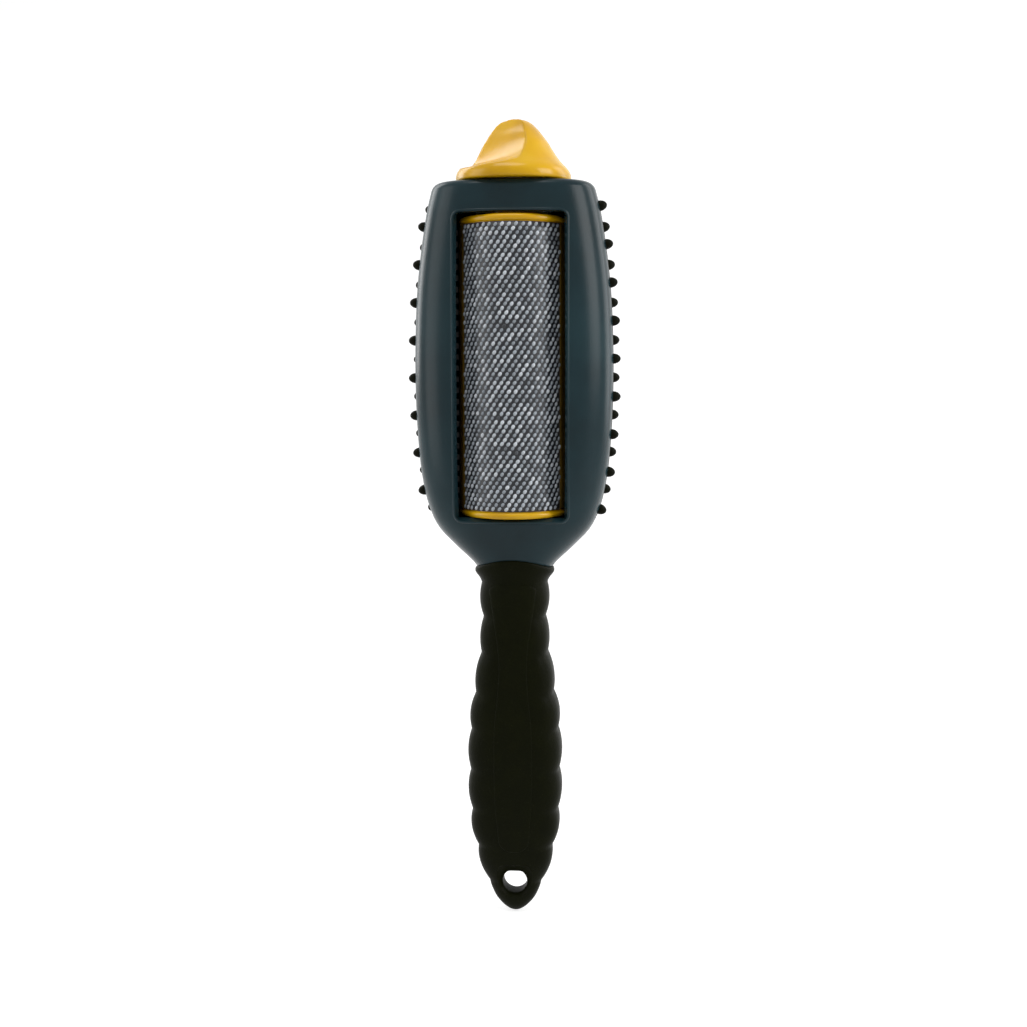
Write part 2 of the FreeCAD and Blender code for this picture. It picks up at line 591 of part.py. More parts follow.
drum_cap_bottom = turned("drum_cap_bottom", (
    ("0", "Levels.drum_low - Sizes.stub_length"),
    ("Sizes.stub_radius", "Levels.drum_low - Sizes.stub_length"),
    ("Sizes.stub_radius", "Levels.bush_lower_high + Sizes.thrust_gap"),
    ("Sizes.stub_radius + Sizes.bush_wall", "Levels.bush_lower_high + Sizes.thrust_gap"),
    ("Sizes.stub_radius + Sizes.bush_wall", "Levels.drum_low"),
    ("Sizes.drum_radius - 0.5", "Levels.drum_low"),
    ("Sizes.drum_radius", "Levels.drum_low + 0.5"), ("Sizes.drum_radius", "Levels.fabric_low"),
    ("Levels.tube_bore", "Levels.fabric_low"), ("Levels.tube_bore", "Levels.fabric_low + Sizes.cap_plug"),
    ("Levels.tube_bore - Sizes.cap_web", "Levels.fabric_low + Sizes.cap_plug"),
    ("Levels.tube_bore - Sizes.cap_web", "Levels.drum_low + Sizes.cap_web"),
    ("0", "Levels.drum_low + Sizes.cap_web")))

# --- knob -----------------------------------------------------------------------------------
CUP_TOP = "Levels.fabric_high - 1"
knob_radius, waist = size("knob_radius"), size("bell_waist")
low, high = size("knob_low"), size("knob_top")
flange, bell = size("flange_height"), size("knob_height") - size("flange_height")
shoulder = Vector(knob_radius - 0.28 * flange, 0, low + flange)
foot = Vector(size("bell_foot"), 0, low + flange + 0.11 * bell)
crown = Vector(size("crown_radius"), 0, high - size("crown_drop"))
flank = Part.BSplineCurve()
flank.interpolate(Points=[shoulder, foot, Vector(waist, 0, low + flange + 0.5 * bell), crown],
                  InitialTangent=Vector(-2, 0, 0.5), FinalTangent=Vector(-0.75, 0, 0.66))
rim_arc = Part.Arc(Vector(knob_radius - 0.3, 0, low), Vector(knob_radius, 0, low + 0.45 * flange), shoulder)
crown_arc = Part.Arc(crown, Vector(0.55 * crown.x, 0, high - 0.28 * size("crown_drop")), Vector(0, 0, high))
profile = Part.Wire([Part.LineSegment(Vector(0, 0, low), Vector(knob_radius - 0.3, 0, low)).toShape(),
                     rim_arc.toShape(), flank.toShape(), crown_arc.toShape(),
                     Part.LineSegment(Vector(0, 0, high), Vector(0, 0, low)).toShape()])
knob_blank = feature("knob_blank", Part.Face(profile).revolve(Vector(0, 0, 0), Vector(0, 0, 1), 360))


def scoop(name, turn):
    """A finger scoop: a large cylinder lying across the knob."""
    reach = size("scoop_depth")
    direction = Vector(math.sin(math.radians(turn)), math.cos(math.radians(turn)), 0)
    along = Vector(direction.y, -direction.x, 0)
    centre = direction * reach + Vector(0, 0, low + size("scoop_lift")) - along * 40
    return feature(name, Part.makeCylinder(size("scoop_radius"), 80, centre, along))


knob_socket = box("knob_socket", "-Sizes.key_half_width", "-Sizes.key_half_width", "Levels.knob_low - 1",
                  "2 * Sizes.key_half_width", "2 * Sizes.key_half_width", "Sizes.key_height + 1")
knob_bore = rod("knob_bore", SCREW_BORE, "Sizes.key_height + Sizes.knob_screw_bite + 0.5", "0", "0",
                "Levels.knob_low")
knob = cut("knob", knob_blank, scoop("scoop_front", 180 + size("scoop_turn")),
           scoop("scoop_rear", size("scoop_turn")), knob_socket, knob_bore)

KNOB_SCREW_SEAT = CUP_TOP
knob_screw = turned("knob_screw", (
    ("0", KNOB_SCREW_SEAT + " - 2"), ("Sizes.knob_screw_head", KNOB_SCREW_SEAT + " - 2"),
    ("Sizes.knob_screw_head", KNOB_SCREW_SEAT), ("Sizes.knob_screw_radius", KNOB_SCREW_SEAT),
    ("Sizes.knob_screw_radius", "Levels.knob_low + Sizes.key_height + Sizes.knob_screw_bite"),
    ("0", "Levels.knob_low + Sizes.key_height + Sizes.knob_screw_bite")))

# --- handle ---------------------------------------------------------------------------------
# Scallops of the grip's edge: height share from tip to collar and half width as a share of the
# greatest, at each valley, with the crest between it and the next.
VALLEYS = ((0.092, 0.555), (0.200, 0.785), (0.307, 0.905), (0.425, 0.935), (0.544, 0.915),
           (0.650, 0.820), (0.767, 0.697), (0.872, 0.650), (0.965, 0.690))
CRESTS = ((0.172, 0.795), (0.278, 0.945), (0.384, 0.995), (0.473, 0.997), (0.585, 0.952),
          (0.691, 0.840), (0.809, 0.731), (0.922, 0.733))
TIP = ((0.008, 0.170), (0.031, 0.350), (0.063, 0.490))
grip_height = size("collar_rise") - size("tip_z")
grip_width = size("grip_half_width")


def grip_point(share, width):
    """A point of the grip's right edge."""
    return Vector(width * grip_width, 0, size("tip_z") + share * grip_height)


def mirrored(point):
    """The same point of the left edge."""
    return Vector(-point.x, point.y, point.z)


right_edge = []
nose = [Vector(0, 0, size("tip_z"))] + [grip_point(*entry) for entry in TIP] + [grip_point(*VALLEYS[0])]
nose_curve = Part.BSplineCurve()
nose_curve.interpolate(Points=nose, InitialTangent=Vector(1, 0, 0), FinalTangent=Vector(0.25, 0, 1))
right_edge.append(nose_curve)
for start, crest, end in zip(VALLEYS, CRESTS, VALLEYS[1:]):
    right_edge.append(Part.Arc(grip_point(*start), grip_point(*crest), grip_point(*end)))
collar_low = grip_point(*VALLEYS[-1])
collar_edge = Vector(size("collar_half_width"), 0, size("collar_rise"))
sleeve_top = size("collar_rise") + 5.0
right_edge.append(Part.Arc(collar_low, Vector((collar_low.x + collar_edge.x) / 2 - 0.35, 0,
                                              (collar_low.z + collar_edge.z) / 2 + 0.3), collar_edge))
right_edge.append(Part.LineSegment(collar_edge, Vector(collar_edge.x, 0, sleeve_top)))
right_shapes = [curve.toShape() for curve in right_edge]
left_shapes = [shape.mirror(Vector(0, 0, 0), Vector(1, 0, 0)) for shape in reversed(right_shapes)]
top_corner = Vector(collar_edge.x, 0, sleeve_top)
top_line = Part.LineSegment(top_corner, mirrored(top_corner)).toShape()
grip_wire = Part.Wire(Part.__sortEdges__(right_shapes + [top_line] + left_shapes))
grip_face = Part.Face(grip_wire)
DEEP = 16.0                                   # deeper than half the grip
grip_solid = grip_face.extrude(Vector(0, 2 * DEEP, 0))
grip_prism = feature("grip_prism", grip_solid.translated(Vector(0, -DEEP, 0)))

# The grip's crowned front and back: height share, half width and half depth as shares.
PILLOW = ((-0.02, 0.50, 0.34), (0.07, 0.80, 0.50), (0.16, 0.98, 0.70), (0.32, 1.12, 0.93),
          (0.50, 1.14, 1.00), (0.73, 0.94, 0.92), (0.90, 0.90, 0.92))
pillow_wires = []
for share, width, depth in PILLOW:
    half_depth = depth * size("grip_half_depth")
    pillow_wires.append(outline(width * grip_width, half_depth, half_depth, 2.3, 0.0,
                                size("tip_z") + share * grip_height))
for height in (size("collar_rise"), sleeve_top + 1):
    pillow_wires.append(outline(size("collar_half_width") + 1.5, size("collar_half_depth"),
                                size("collar_half_depth"), 2.3, 0.0, height))
pillow = feature("pillow", Part.makeLoft(pillow_wires, True, False))

arch_height = size("collar_arch_rise")
arch_chord = size("collar_half_width")
arch_radius = (arch_chord ** 2 + arch_height ** 2) / (2 * arch_height)
arch_top = size("collar_rise") + 1.2 + arch_height
arch_centre = Vector(0, -DEEP, arch_top - arch_radius)
arch_cylinder = Part.makeCylinder(arch_radius, 2 * DEEP, arch_centre, Vector(0, 1, 0))
below_arch = Part.makeBox(80, 2 * DEEP, 160, Vector(-40, -DEEP, arch_top - arch_radius - 160))
arch = feature("arch", arch_cylinder.fuse(below_arch))
grip_form = overlap("grip_form", grip_prism, pillow, arch)

core_low_part = bar("core_lower", size("core_half_width"), size("core_half_depth"), size("core_low"),
                    size("plug_low"))
core_tang = bar("core_tang", size("tang_half_width"), size("tang_half_depth"), size("plug_low"),
                size("plug_low") + size("tang_length"))
handle_core = cut("handle_core", join("core_full", core_low_part, core_tang), *holes)

hang_hole = rod("hang_hole", "Sizes.hole_radius", "40", "0", "-20", "Levels.hole_z", TO_BACK)
dishes = []
eye_depth = 0.5 * size("grip_half_depth")
dish = size("dish_width")
for name, way in (("dish_front", -1), ("dish_rear", 1)):
    inner = Vector(0, way * (eye_depth - dish), size("hole_z"))
    cone = Part.makeCone(size("hole_radius"), size("hole_radius") + 2 * dish, 2 * dish, inner,
                         Vector(0, way, 0))
    dishes.append(feature(name, cone))


def panel_wire(grow, y):
    """The waisted outline of a grip panel: wide at the top, narrow at the waist."""
    shares = ((0.955, 0.500), (0.850, 0.390), (0.730, 0.300), (0.560, 0.400), (0.400, 0.410),
              (0.230, 0.330))
    right = [Vector(width * grip_width + grow, y, size("tip_z") + share * grip_height)
             for share, width in shares]
    side = Part.BSplineCurve()
    side.interpolate(Points=right)
    top, low_point = right[0], right[-1]
    crown = Part.Arc(mirrored(top), Vector(0, y, top.z + 2.2 + grow), top)
    toe = Part.Arc(low_point, Vector(0, y, low_point.z - 4.0 - grow), mirrored(low_point))
    edges = [crown.toShape(), side.toShape(), toe.toShape(),
             side.toShape().mirror(Vector(0, 0, 0), Vector(1, 0, 0))]
    return Part.Wire(Part.__sortEdges__(edges))


panels, pockets = {}, []
for side, way in (("front", -1), ("rear", 1)):
    floor = way * size("panel_depth")
    block = Part.Face(panel_wire(0.0, floor)).extrude(Vector(0, way * DEEP, 0))
    space = Part.Face(panel_wire(size("panel_gap"), floor)).extrude(Vector(0, way * DEEP, 0))
    panels[side] = overlap("grip_panel_" + side, feature("panel_block_" + side, block), grip_form)
    pockets.append(feature("panel_space_" + side, space))
grip_sleeve = cut("grip_sleeve", grip_form, casing, core_low_part, hang_hole, *dishes, *pockets)


def group(name, items):
    """Identical separate solids in one node."""
    item = doc.addObject("Part::Compound", name)
    item.Links = items
    return item


shell_screws = group("shell_screws", shell_screw_solids)
tang_screws = group("tang_screws", tang_screw_solids)

# --- files ----------------------------------------------------------------------------------
NODES = (front_shell, rear_shell, nub_pad, top_bush, bottom_bush, felt_washer, wiper_left, wiper_right,
         shell_screws, handle_core, tang_screws, grip_sleeve, panels["front"], panels["rear"],
         drum_tube, drum_cap_top, drum_cap_bottom, fabric_front, fabric_rear, knob, knob_screw)

doc.recompute()
for item in doc.Objects:
    if "Invalid" in item.State or "Error" in item.State:
        raise RuntimeError(f"{item.Name} did not build: {item.State}")
os.makedirs("parts", exist_ok=True)
for node in NODES:
    node.Label = node.Name
    shape = node.Shape
    if shape.isNull() or not shape.isValid() or not shape.Solids:
        raise RuntimeError(f"{node.Name} has no valid solid")
    shape.exportStep(f"parts/{node.Name}.step")
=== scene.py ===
import math
import random

import bmesh
import bpy
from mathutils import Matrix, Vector


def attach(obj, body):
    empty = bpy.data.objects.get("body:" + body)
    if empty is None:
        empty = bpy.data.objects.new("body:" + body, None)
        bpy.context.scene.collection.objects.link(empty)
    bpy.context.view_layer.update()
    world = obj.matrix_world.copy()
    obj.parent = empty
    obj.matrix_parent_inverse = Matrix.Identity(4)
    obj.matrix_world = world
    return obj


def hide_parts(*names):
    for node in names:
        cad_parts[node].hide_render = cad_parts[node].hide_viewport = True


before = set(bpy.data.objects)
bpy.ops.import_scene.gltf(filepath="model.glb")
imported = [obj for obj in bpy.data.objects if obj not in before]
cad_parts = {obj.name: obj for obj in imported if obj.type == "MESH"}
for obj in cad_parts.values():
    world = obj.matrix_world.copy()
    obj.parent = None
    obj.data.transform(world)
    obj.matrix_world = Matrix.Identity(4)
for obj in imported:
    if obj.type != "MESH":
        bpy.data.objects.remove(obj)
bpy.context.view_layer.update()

MM = 0.001


# --- Front shell -------------------------------------------------------------------------------
# The half of the housing that carries the drum's window. Injection-moulded ABS, slate grey, with
# a raised bead round the window. It is screwed to the rear shell from behind.
HEAD_LOW, HEAD_TOP, TOP_ROUND = 50.0, 172.0, 2.2
WIDEST_LINE, PARTING_LINE = 1.0, -2.0
HEAD_HALF_WIDTHS = ((50.0, 9.2), (54.5, 11.3), (56.2, 12.4), (58.7, 15.0), (61.2, 17.7), (63.7, 20.2),
                    (66.1, 22.5), (68.6, 24.2), (71.1, 25.4), (73.6, 26.3), (77.0, 27.3), (82.0, 28.3),
                    (87.0, 29.0), (93.0, 29.55), (103.0, 30.15), (115.0, 30.4), (127.5, 30.2),
                    (139.6, 29.6), (151.7, 28.3), (163.7, 26.4), (172.0, 24.4))
HEAD_FRONT_DEPTHS = ((50.0, 8.2), (54.5, 9.3), (59.5, 10.6), (65.5, 12.6), (71.0, 14.7), (80.0, 15.8),
                     (98.0, 16.0), (122.0, 16.0), (146.0, 15.8), (163.0, 15.3), (172.0, 14.7))
HEAD_REAR_DEPTHS = ((50.0, 8.4), (54.5, 9.3), (59.5, 11.0), (65.5, 14.5), (71.0, 18.3), (80.0, 20.8),
                    (98.0, 21.8), (122.0, 22.0), (146.0, 21.3), (163.0, 19.9), (172.0, 18.6))
HEAD_SQUARENESS = ((50.0, 2.0), (59.5, 2.1), (65.5, 2.3), (71.0, 2.45), (80.0, 2.6), (172.0, 2.6))
WINDOW_HALF, WINDOW_LOW, WINDOW_HIGH, WINDOW_CORNER = 16.8, 70.65, 162.35, 2.0
NARROW_WINDOW = 0.664  # share of the width, for the rows where the head is narrower than the window
SHELL_WALL, COLLAR_RADIUS, COLLAR_LIP, HEAD_MIDDLE = 2.2, 12.45, 0.4, 118
MERGE, SHELL_CREASE = 0.00001, math.radians(38)


def eased(table, place):
    """The value of a table of (place, value) pairs at a place, on a smooth curve through them."""
    if place <= table[0][0]:
        return table[0][1]
    for index in range(len(table) - 1):
        (x1, y1), (x2, y2) = table[index], table[index + 1]
        if place <= x2:
            x0, y0 = table[max(index - 1, 0)]
            x3, y3 = table[min(index + 2, len(table) - 1)]
            rise_in = (y2 - y0) / (x2 - x0)
            rise_out = (y3 - y1) / (x3 - x1)
            t, span = (place - x1) / (x2 - x1), x2 - x1
            return ((2 * t ** 3 - 3 * t ** 2 + 1) * y1 + (t ** 3 - 2 * t ** 2 + t) * span * rise_in
                    + (3 * t ** 2 - 2 * t ** 3) * y2 + (t ** 3 - t ** 2) * span * rise_out)
    return table[-1][1]


def head_point(height, angle, inset=0.0):
    """A point of the housing's form: a squared oval, deeper behind than in front."""
    across, along = math.cos(angle), math.sin(angle)
    wide = eased(HEAD_HALF_WIDTHS, height) - inset
    if along > 0:
        deep = eased(HEAD_REAR_DEPTHS, height) - WIDEST_LINE - inset
    else:
        deep = eased(HEAD_FRONT_DEPTHS, height) + WIDEST_LINE - inset
    square = eased(HEAD_SQUARENESS, height)
    reach = (abs(across / wide) ** square + abs(along / deep) ** square) ** (-1 / square)
    return Vector((reach * across, WIDEST_LINE + reach * along, height))


def face_depth(x, height):
    """The housing's front face at a place across it."""
    wide = eased(HEAD_HALF_WIDTHS, height)
    deep = eased(HEAD_FRONT_DEPTHS, height) + WIDEST_LINE
    square = eased(HEAD_SQUARENESS, height)
    return WIDEST_LINE - deep * (1 - min(abs(x) / wide, 1.0) ** square) ** (1 / square)


def parting_half_width(height):
    """Half the housing's width at the joint of the two shells."""
    square = eased(HEAD_SQUARENESS, height)
    deep = eased(HEAD_FRONT_DEPTHS, height) + WIDEST_LINE
    wide = eased(HEAD_HALF_WIDTHS, height)
    return wide * (1 - ((WIDEST_LINE - PARTING_LINE) / deep) ** square) ** (1 / square)


def spread(low, high, count):
    """Evenly spaced numbers from low to high."""
    return [low + (high - low) * step / count for step in range(count + 1)]


def linear(colour):
    """A hex sRGB colour as linear red, green, blue and alpha."""
    parts = [int(colour[at:at + 2], 16) / 255 for at in (1, 3, 5)]
    return [part / 12.92 if part <= 0.04045 else ((part + 0.055) / 1.055) ** 2.4
            for part in parts] + [1.0]


def socket(sockets, key):
    """The socket of that name or number; of several with one name, the one in use."""
    if isinstance(key, int):
        return sockets[key]
    return next(item for item in sockets if item.enabled and item.name == key)


def add_node(tree, kind, links=None, settings=None, **inputs):
    """Adds a node: settings are its properties, inputs its socket values, links its wired sockets."""
    node = tree.nodes.new(kind)
    for key, value in (settings or {}).items():
        setattr(node, key, value)
    for key, value in inputs.items():
        socket(node.inputs, key.replace("_", " ")).default_value = value
    for key, source in (links or {}).items():
        tree.links.new(source, socket(node.inputs, key))
    return node


def new_object(name, points, faces, material=None):
    """A smooth mesh object at the origin from points in millimetres."""
    mesh = bpy.data.meshes.new(name)
    mesh.from_pydata([Vector(point) * MM for point in points], [], faces)
    mesh.validate()
    mesh.shade_smooth()
    obj = bpy.data.objects.new(name, mesh)
    bpy.context.scene.collection.objects.link(obj)
    if material:
        mesh.materials.append(material)
    return obj


def grid_faces(rows, columns, ring=False, closed=False, skip=None, start=0):
    """Four-sided faces between rows of points; a ring joins the last column to the first, and a
    closed grid the last row to the first."""
    faces = []
    for row in range(rows if closed else rows - 1):
        low, high = start + row * columns, start + (row + 1) % rows * columns
        for column in range(columns if ring else columns - 1):
            if skip and skip(row, column):
                continue
            right = (column + 1) % columns
            faces.append((low + column, low + right, high + right, high + column))
    return faces


def circle(radius, height, sides):
    """Points round the brush's axis."""
    return [(radius * math.cos(angle), radius * math.sin(angle), height)
            for angle in spread(0.0, 2 * math.pi, sides)[:-1]]


def cleaned(obj, inside=None, merge=MERGE):
    """Merges doubles and turns the faces outwards: an open sheet's away from a point inside."""
    mesh = bmesh.new()
    mesh.from_mesh(obj.data)
    bmesh.ops.remove_doubles(mesh, verts=mesh.verts, dist=merge)
    bmesh.ops.recalc_face_normals(mesh, faces=mesh.faces)
    if inside:
        mesh.normal_update()
        middle = Vector(inside) * MM
        facing = sum((face.calc_center_median() - middle).dot(face.normal) * face.calc_area()
                     for face in mesh.faces)
        if facing < 0:
            bmesh.ops.reverse_faces(mesh, faces=mesh.faces)
    mesh.to_mesh(obj.data)
    mesh.free()
    return obj


def plain(obj):
    """Applies every modifier of an object and keeps the result as its own mesh."""
    graph = bpy.context.evaluated_depsgraph_get()
    graph.update()
    mesh = bpy.data.meshes.new_from_object(obj.evaluated_get(graph))
    obj.modifiers.clear()
    obj.data = mesh
    return obj


def thickened(obj, inside, wall):
    """Gives an open sheet a wall, in towards a point inside it."""
    cleaned(obj, inside)
    solid = obj.modifiers.new("wall", "SOLIDIFY")
    solid.thickness, solid.offset = wall * MM, -1.0
    return plain(obj)


def blank_material(name):
    """An empty material, its node tree and its Principled shader."""
    material = bpy.data.materials.new(name)
    material.use_nodes = True
    return material, material.node_tree, material.node_tree.nodes["Principled BSDF"]


def noise(tree, scale, **inputs):
    """A noise texture on the object's own coordinates."""
    place = add_node(tree, "ShaderNodeTexCoord").outputs["Object"]
    return add_node(tree, "ShaderNodeTexNoise", {"Vector": place}, Scale=scale, **inputs).outputs["Fac"]


def coloured(tree, shader, source, first, last, *others):
    """A base colour from a ramp; each stop is (position, hex colour)."""
    tint = add_node(tree, "ShaderNodeValToRGB", {"Fac": source})
    stops = tint.color_ramp.elements
    for index, (position, colour) in enumerate((first, last)):
        stops[index].position, stops[index].color = position, linear(colour)
    for position, colour in others:
        stops.new(position).color = linear(colour)
    tree.links.new(tint.outputs["Color"], shader.inputs["Base Color"])


def bumped(tree, shader, source, strength, distance=0.0002):
    """A bump from a texture's value."""
    bump = add_node(tree, "ShaderNodeBump", {"Height": source}, Strength=strength, Distance=distance)
    tree.links.new(bump.outputs["Normal"], shader.inputs["Normal"])


def roughened(tree, shader, source, low, high, **limits):
    """A roughness between two values from a texture's value."""
    gloss = add_node(tree, "ShaderNodeMapRange", {"Value": source}, To_Min=low, To_Max=high, **limits)
    tree.links.new(gloss.outputs["Result"], shader.inputs["Roughness"])


# Moulded ABS: satin from a spark-eroded tool, its grain about 0.3 mm, drawn at 0.5 mm so that it
# shows; faintly cloudy in colour, as filled plastic is.
SLATE, SLATE_PALE, SLATE_DEEP = "#1A3137", "#1F383E", "#172A2F"


def moulded_abs(name, colour, pale, deep):
    """Satin ABS, cloudy over about 22 mm."""
    material, tree, shader = blank_material(name)
    cloud = noise(tree, 45.0, Detail=3.0)
    coloured(tree, shader, cloud, (0.3, deep), (0.7, pale), (0.5, colour))
    roughened(tree, shader, cloud, 0.20, 0.28)
    bumped(tree, shader, noise(tree, 2000.0, Detail=2.0), 0.12)
    shader.inputs["IOR"].default_value = 1.54
    shader.inputs["Specular IOR Level"].default_value = 0.15
    return material


slate_abs = moulded_abs("slate_abs", SLATE, SLATE_PALE, SLATE_DEEP)


def arc_rows(low, high, step):
    """Heights of the rows between two levels, about a step apart."""
    return spread(low, high, max(1, round((high - low) / step)))


# Rows as (height, inset, cap share): up the side, over the rounded top and in across it.
side_heights = (arc_rows(HEAD_LOW, WINDOW_LOW, 1.6) + arc_rows(WINDOW_LOW, WINDOW_HIGH, 2.6)[1:]
                + arc_rows(WINDOW_HIGH, HEAD_TOP - TOP_ROUND, 1.8)[1:])
head_rows = [(height, 0.0, 0.0) for height in side_heights]
TOP_STEPS = 6
for step in range(1, TOP_STEPS + 1):
    turn = math.pi / 2 * step / TOP_STEPS
    head_rows.append((HEAD_TOP - TOP_ROUND * (1 - math.sin(turn)), TOP_ROUND * (1 - math.cos(turn)),
                      0.0))
head_rows += [(HEAD_TOP, TOP_ROUND, share) for share in (0.25, 0.5, 0.75, 1.0)]


def row_point(row, angle, ring_angle, sunk=0.0):
    """A point of the housing on one of its rows; on the cap it runs in to the collar's ring."""
    height, inset, share = row
    edge = head_point(height, angle, inset + sunk)
    reach = min(COLLAR_RADIUS, edge.xy.length - COLLAR_LIP)
    ring = Vector((reach * math.cos(ring_angle), reach * math.sin(ring_angle), height))
    return edge.lerp(ring, share)


SIDE_COLUMNS, FACE_COLUMNS = 14, 20
front_points = []
for row in head_rows:
    height = row[0]
    window_x = min(WINDOW_HALF, NARROW_WINDOW * eased(HEAD_HALF_WIDTHS, height))
    seam_x = parting_half_width(height)
    window_angle = math.atan2(face_depth(window_x, height) - WIDEST_LINE, window_x)
    seam_angle = math.atan2(PARTING_LINE - WIDEST_LINE, seam_x)
    angles = spread(seam_angle, window_angle, SIDE_COLUMNS)
    for x in spread(window_x, -window_x, FACE_COLUMNS)[1:-1]:
        angles.append(math.atan2(face_depth(x, height) - WIDEST_LINE, x))
    angles += [-math.pi - angle for angle in reversed(angles[:SIDE_COLUMNS + 1])]
    ring_low = math.asin(PARTING_LINE / COLLAR_RADIUS)
    ring_angles = spread(ring_low, -math.pi - ring_low, len(angles) - 1)
    front_points += [row_point(row, angle, ring) for angle, ring in zip(angles, ring_angles)]
front_columns = 2 * SIDE_COLUMNS + FACE_COLUMNS + 1


def in_window(row, column):
    """True for the cells that the window leaves open."""
    middle = (head_rows[row][0] + head_rows[row + 1][0]) / 2
    return (SIDE_COLUMNS <= column < SIDE_COLUMNS + FACE_COLUMNS
            and WINDOW_LOW < middle < WINDOW_HIGH and head_rows[row][2] == 0)


front_sheet = new_object("front_sheet", front_points,
                         grid_faces(len(head_rows), front_columns, skip=in_window), slate_abs)
thickened(front_sheet, (0, 0, HEAD_MIDDLE), SHELL_WALL)

# The bead and the window's inner wall: a profile of (outwards, height above the face), swept
# round the window's rounded outline.
BEAD_PROFILE = ((0.0, -2.6), (0.0, 0.04), (0.07, 0.21), (0.24, 0.32), (0.46, 0.33), (0.68, 0.24),
                (0.84, 0.06), (0.9, -0.25), (0.9, -1.2), (0.6, -2.6))
CORNER_STEPS, LONG_STEPS, SHORT_STEPS = 6, 24, 10
bead_path = []
for sign_x, sign_z, turn in ((1, 1, 0), (-1, 1, 1), (-1, -1, 2), (1, -1, 3)):
    centre_x = sign_x * (WINDOW_HALF - WINDOW_CORNER)
    centre_z = (WINDOW_HIGH if sign_z > 0 else WINDOW_LOW) - sign_z * WINDOW_CORNER
    for step in range(CORNER_STEPS + 1):
        angle = math.pi / 2 * (turn + step / CORNER_STEPS)
        bead_path.append((centre_x, centre_z, math.cos(angle), math.sin(angle)))
    after_x, after_z = ((-1, 1), (-1, -1), (1, -1), (1, 1))[turn]
    end_x = after_x * (WINDOW_HALF - WINDOW_CORNER)
    end_z = (WINDOW_HIGH if after_z > 0 else WINDOW_LOW) - after_z * WINDOW_CORNER
    for share in spread(0, 1, LONG_STEPS if turn % 2 else SHORT_STEPS)[1:-1]:
        bead_path.append((centre_x + (end_x - centre_x) * share, centre_z + (end_z - centre_z) * share,
                          math.cos(angle), math.sin(angle)))
bead_points = []
for x, z, out_x, out_z in bead_path:
    for out, lift in BEAD_PROFILE:
        reach = WINDOW_CORNER + out
        at_x, at_z = x + out_x * reach, z + out_z * reach
        bead_points.append(Vector((at_x, face_depth(at_x, at_z) - lift, at_z)))
bead_faces = grid_faces(len(bead_path), len(BEAD_PROFILE), ring=True, closed=True)
window_bead = cleaned(new_object("window_bead", bead_points, bead_faces, slate_abs))

mesh = bmesh.new()
mesh.from_mesh(front_sheet.data)
mesh.from_mesh(window_bead.data)
front_housing = new_object("front_housing", [], [], slate_abs)
mesh.to_mesh(front_housing.data)
mesh.free()
for part in (front_sheet, window_bead):
    bpy.data.objects.remove(part, do_unlink=True)
front_housing.data.shade_smooth()
front_housing.data.set_sharp_from_angle(angle=SHELL_CREASE)
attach(front_housing, "housing")
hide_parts("front_shell")


# --- Rear shell --------------------------------------------------------------------------------
# The back half of the housing in the same ABS. A shallow bed round its middle takes the rubber
# pad, so bare plastic shows only at the neck, in a band at the top and across the top.
PAD_LOW, PAD_HIGH, PAD_WALL = 70.5, 167.7, 1.6
# The drum's round path and the pad's bed keep these radii, between these heights.
DRUM_ROOM, BED_ROOM, ROOM_LOW, ROOM_HIGH = 17.0, 17.4, 69.3, 163.0
REAR_WALL, REAR_COLUMNS, REAR_MIDDLE, BED_STEP = 1.8, 44, 5, 0.01
# Rows as (height, inset, cap share, depth under the surface).
bed_rows = arc_rows(PAD_LOW + BED_STEP, PAD_HIGH - BED_STEP, 6.0)
rear_rows = ([(height, 0.0, 0.0, 0.0) for height in arc_rows(HEAD_LOW, PAD_LOW, 1.7)]
             + [(height, 0.0, 0.0, PAD_WALL) for height in bed_rows]
             + [(PAD_HIGH, 0.0, 0.0, 0.0), (HEAD_TOP - TOP_ROUND, 0.0, 0.0, 0.0)]
             + [(*row, 0.0) for row in head_rows if row[0] > HEAD_TOP - TOP_ROUND + 0.01])


def rear_grid(rows, columns):
    """Points of the housing's back, from the right joint line round to the left one."""
    points = []
    for *row, sunk in rows:
        seam = math.atan2(PARTING_LINE - WIDEST_LINE, parting_half_width(row[0]))
        ring_low = math.asin(PARTING_LINE / COLLAR_RADIUS)
        for angle, ring in zip(spread(seam, math.pi - seam, columns),
                               spread(ring_low, math.pi - ring_low, columns)):
            point = row_point(row, angle, ring, sunk)
            point.y = max(point.y, PARTING_LINE)
            if sunk == PAD_WALL and point.xy.length < BED_ROOM:
                point.xy *= BED_ROOM / point.xy.length
            points.append(point)
    return points


def keep_room(obj, radius):
    """Thins a rear wall where it would stand inside a radius that the drum needs."""
    for vertex in obj.data.vertices:
        away = vertex.co.xy.length / MM
        if ROOM_LOW < vertex.co.z / MM < ROOM_HIGH and away < radius:
            vertex.co.xy *= radius / away


rear_housing = new_object("rear_housing", rear_grid(rear_rows, REAR_COLUMNS),
                          grid_faces(len(rear_rows), REAR_COLUMNS + 1), slate_abs)
thickened(rear_housing, (0, REAR_MIDDLE, HEAD_MIDDLE), REAR_WALL)
keep_room(rear_housing, DRUM_ROOM)
rear_housing.data.set_sharp_from_angle(angle=SHELL_CREASE)
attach(rear_housing, "housing")
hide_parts("rear_shell")


# --- Nub pad -----------------------------------------------------------------------------------
# A soft moulded rubber skin bonded into the rear shell's bed. Its staggered blunt nubs lift hair
# and loosen lint, and the outermost ones stand out past the housing's edges.
NUB_PITCH, NUB_INSET, NUB_ROWS, NUB_COLUMNS = 5.75, 1.9, 17, 14
NUB_RADIUS, NUB_HEIGHT, NUB_SUNK = 1.62, 2.35, 0.1
PAD_SKIN, PAD_COLUMNS, TRAIL_STEPS = 1.45, 64, 400
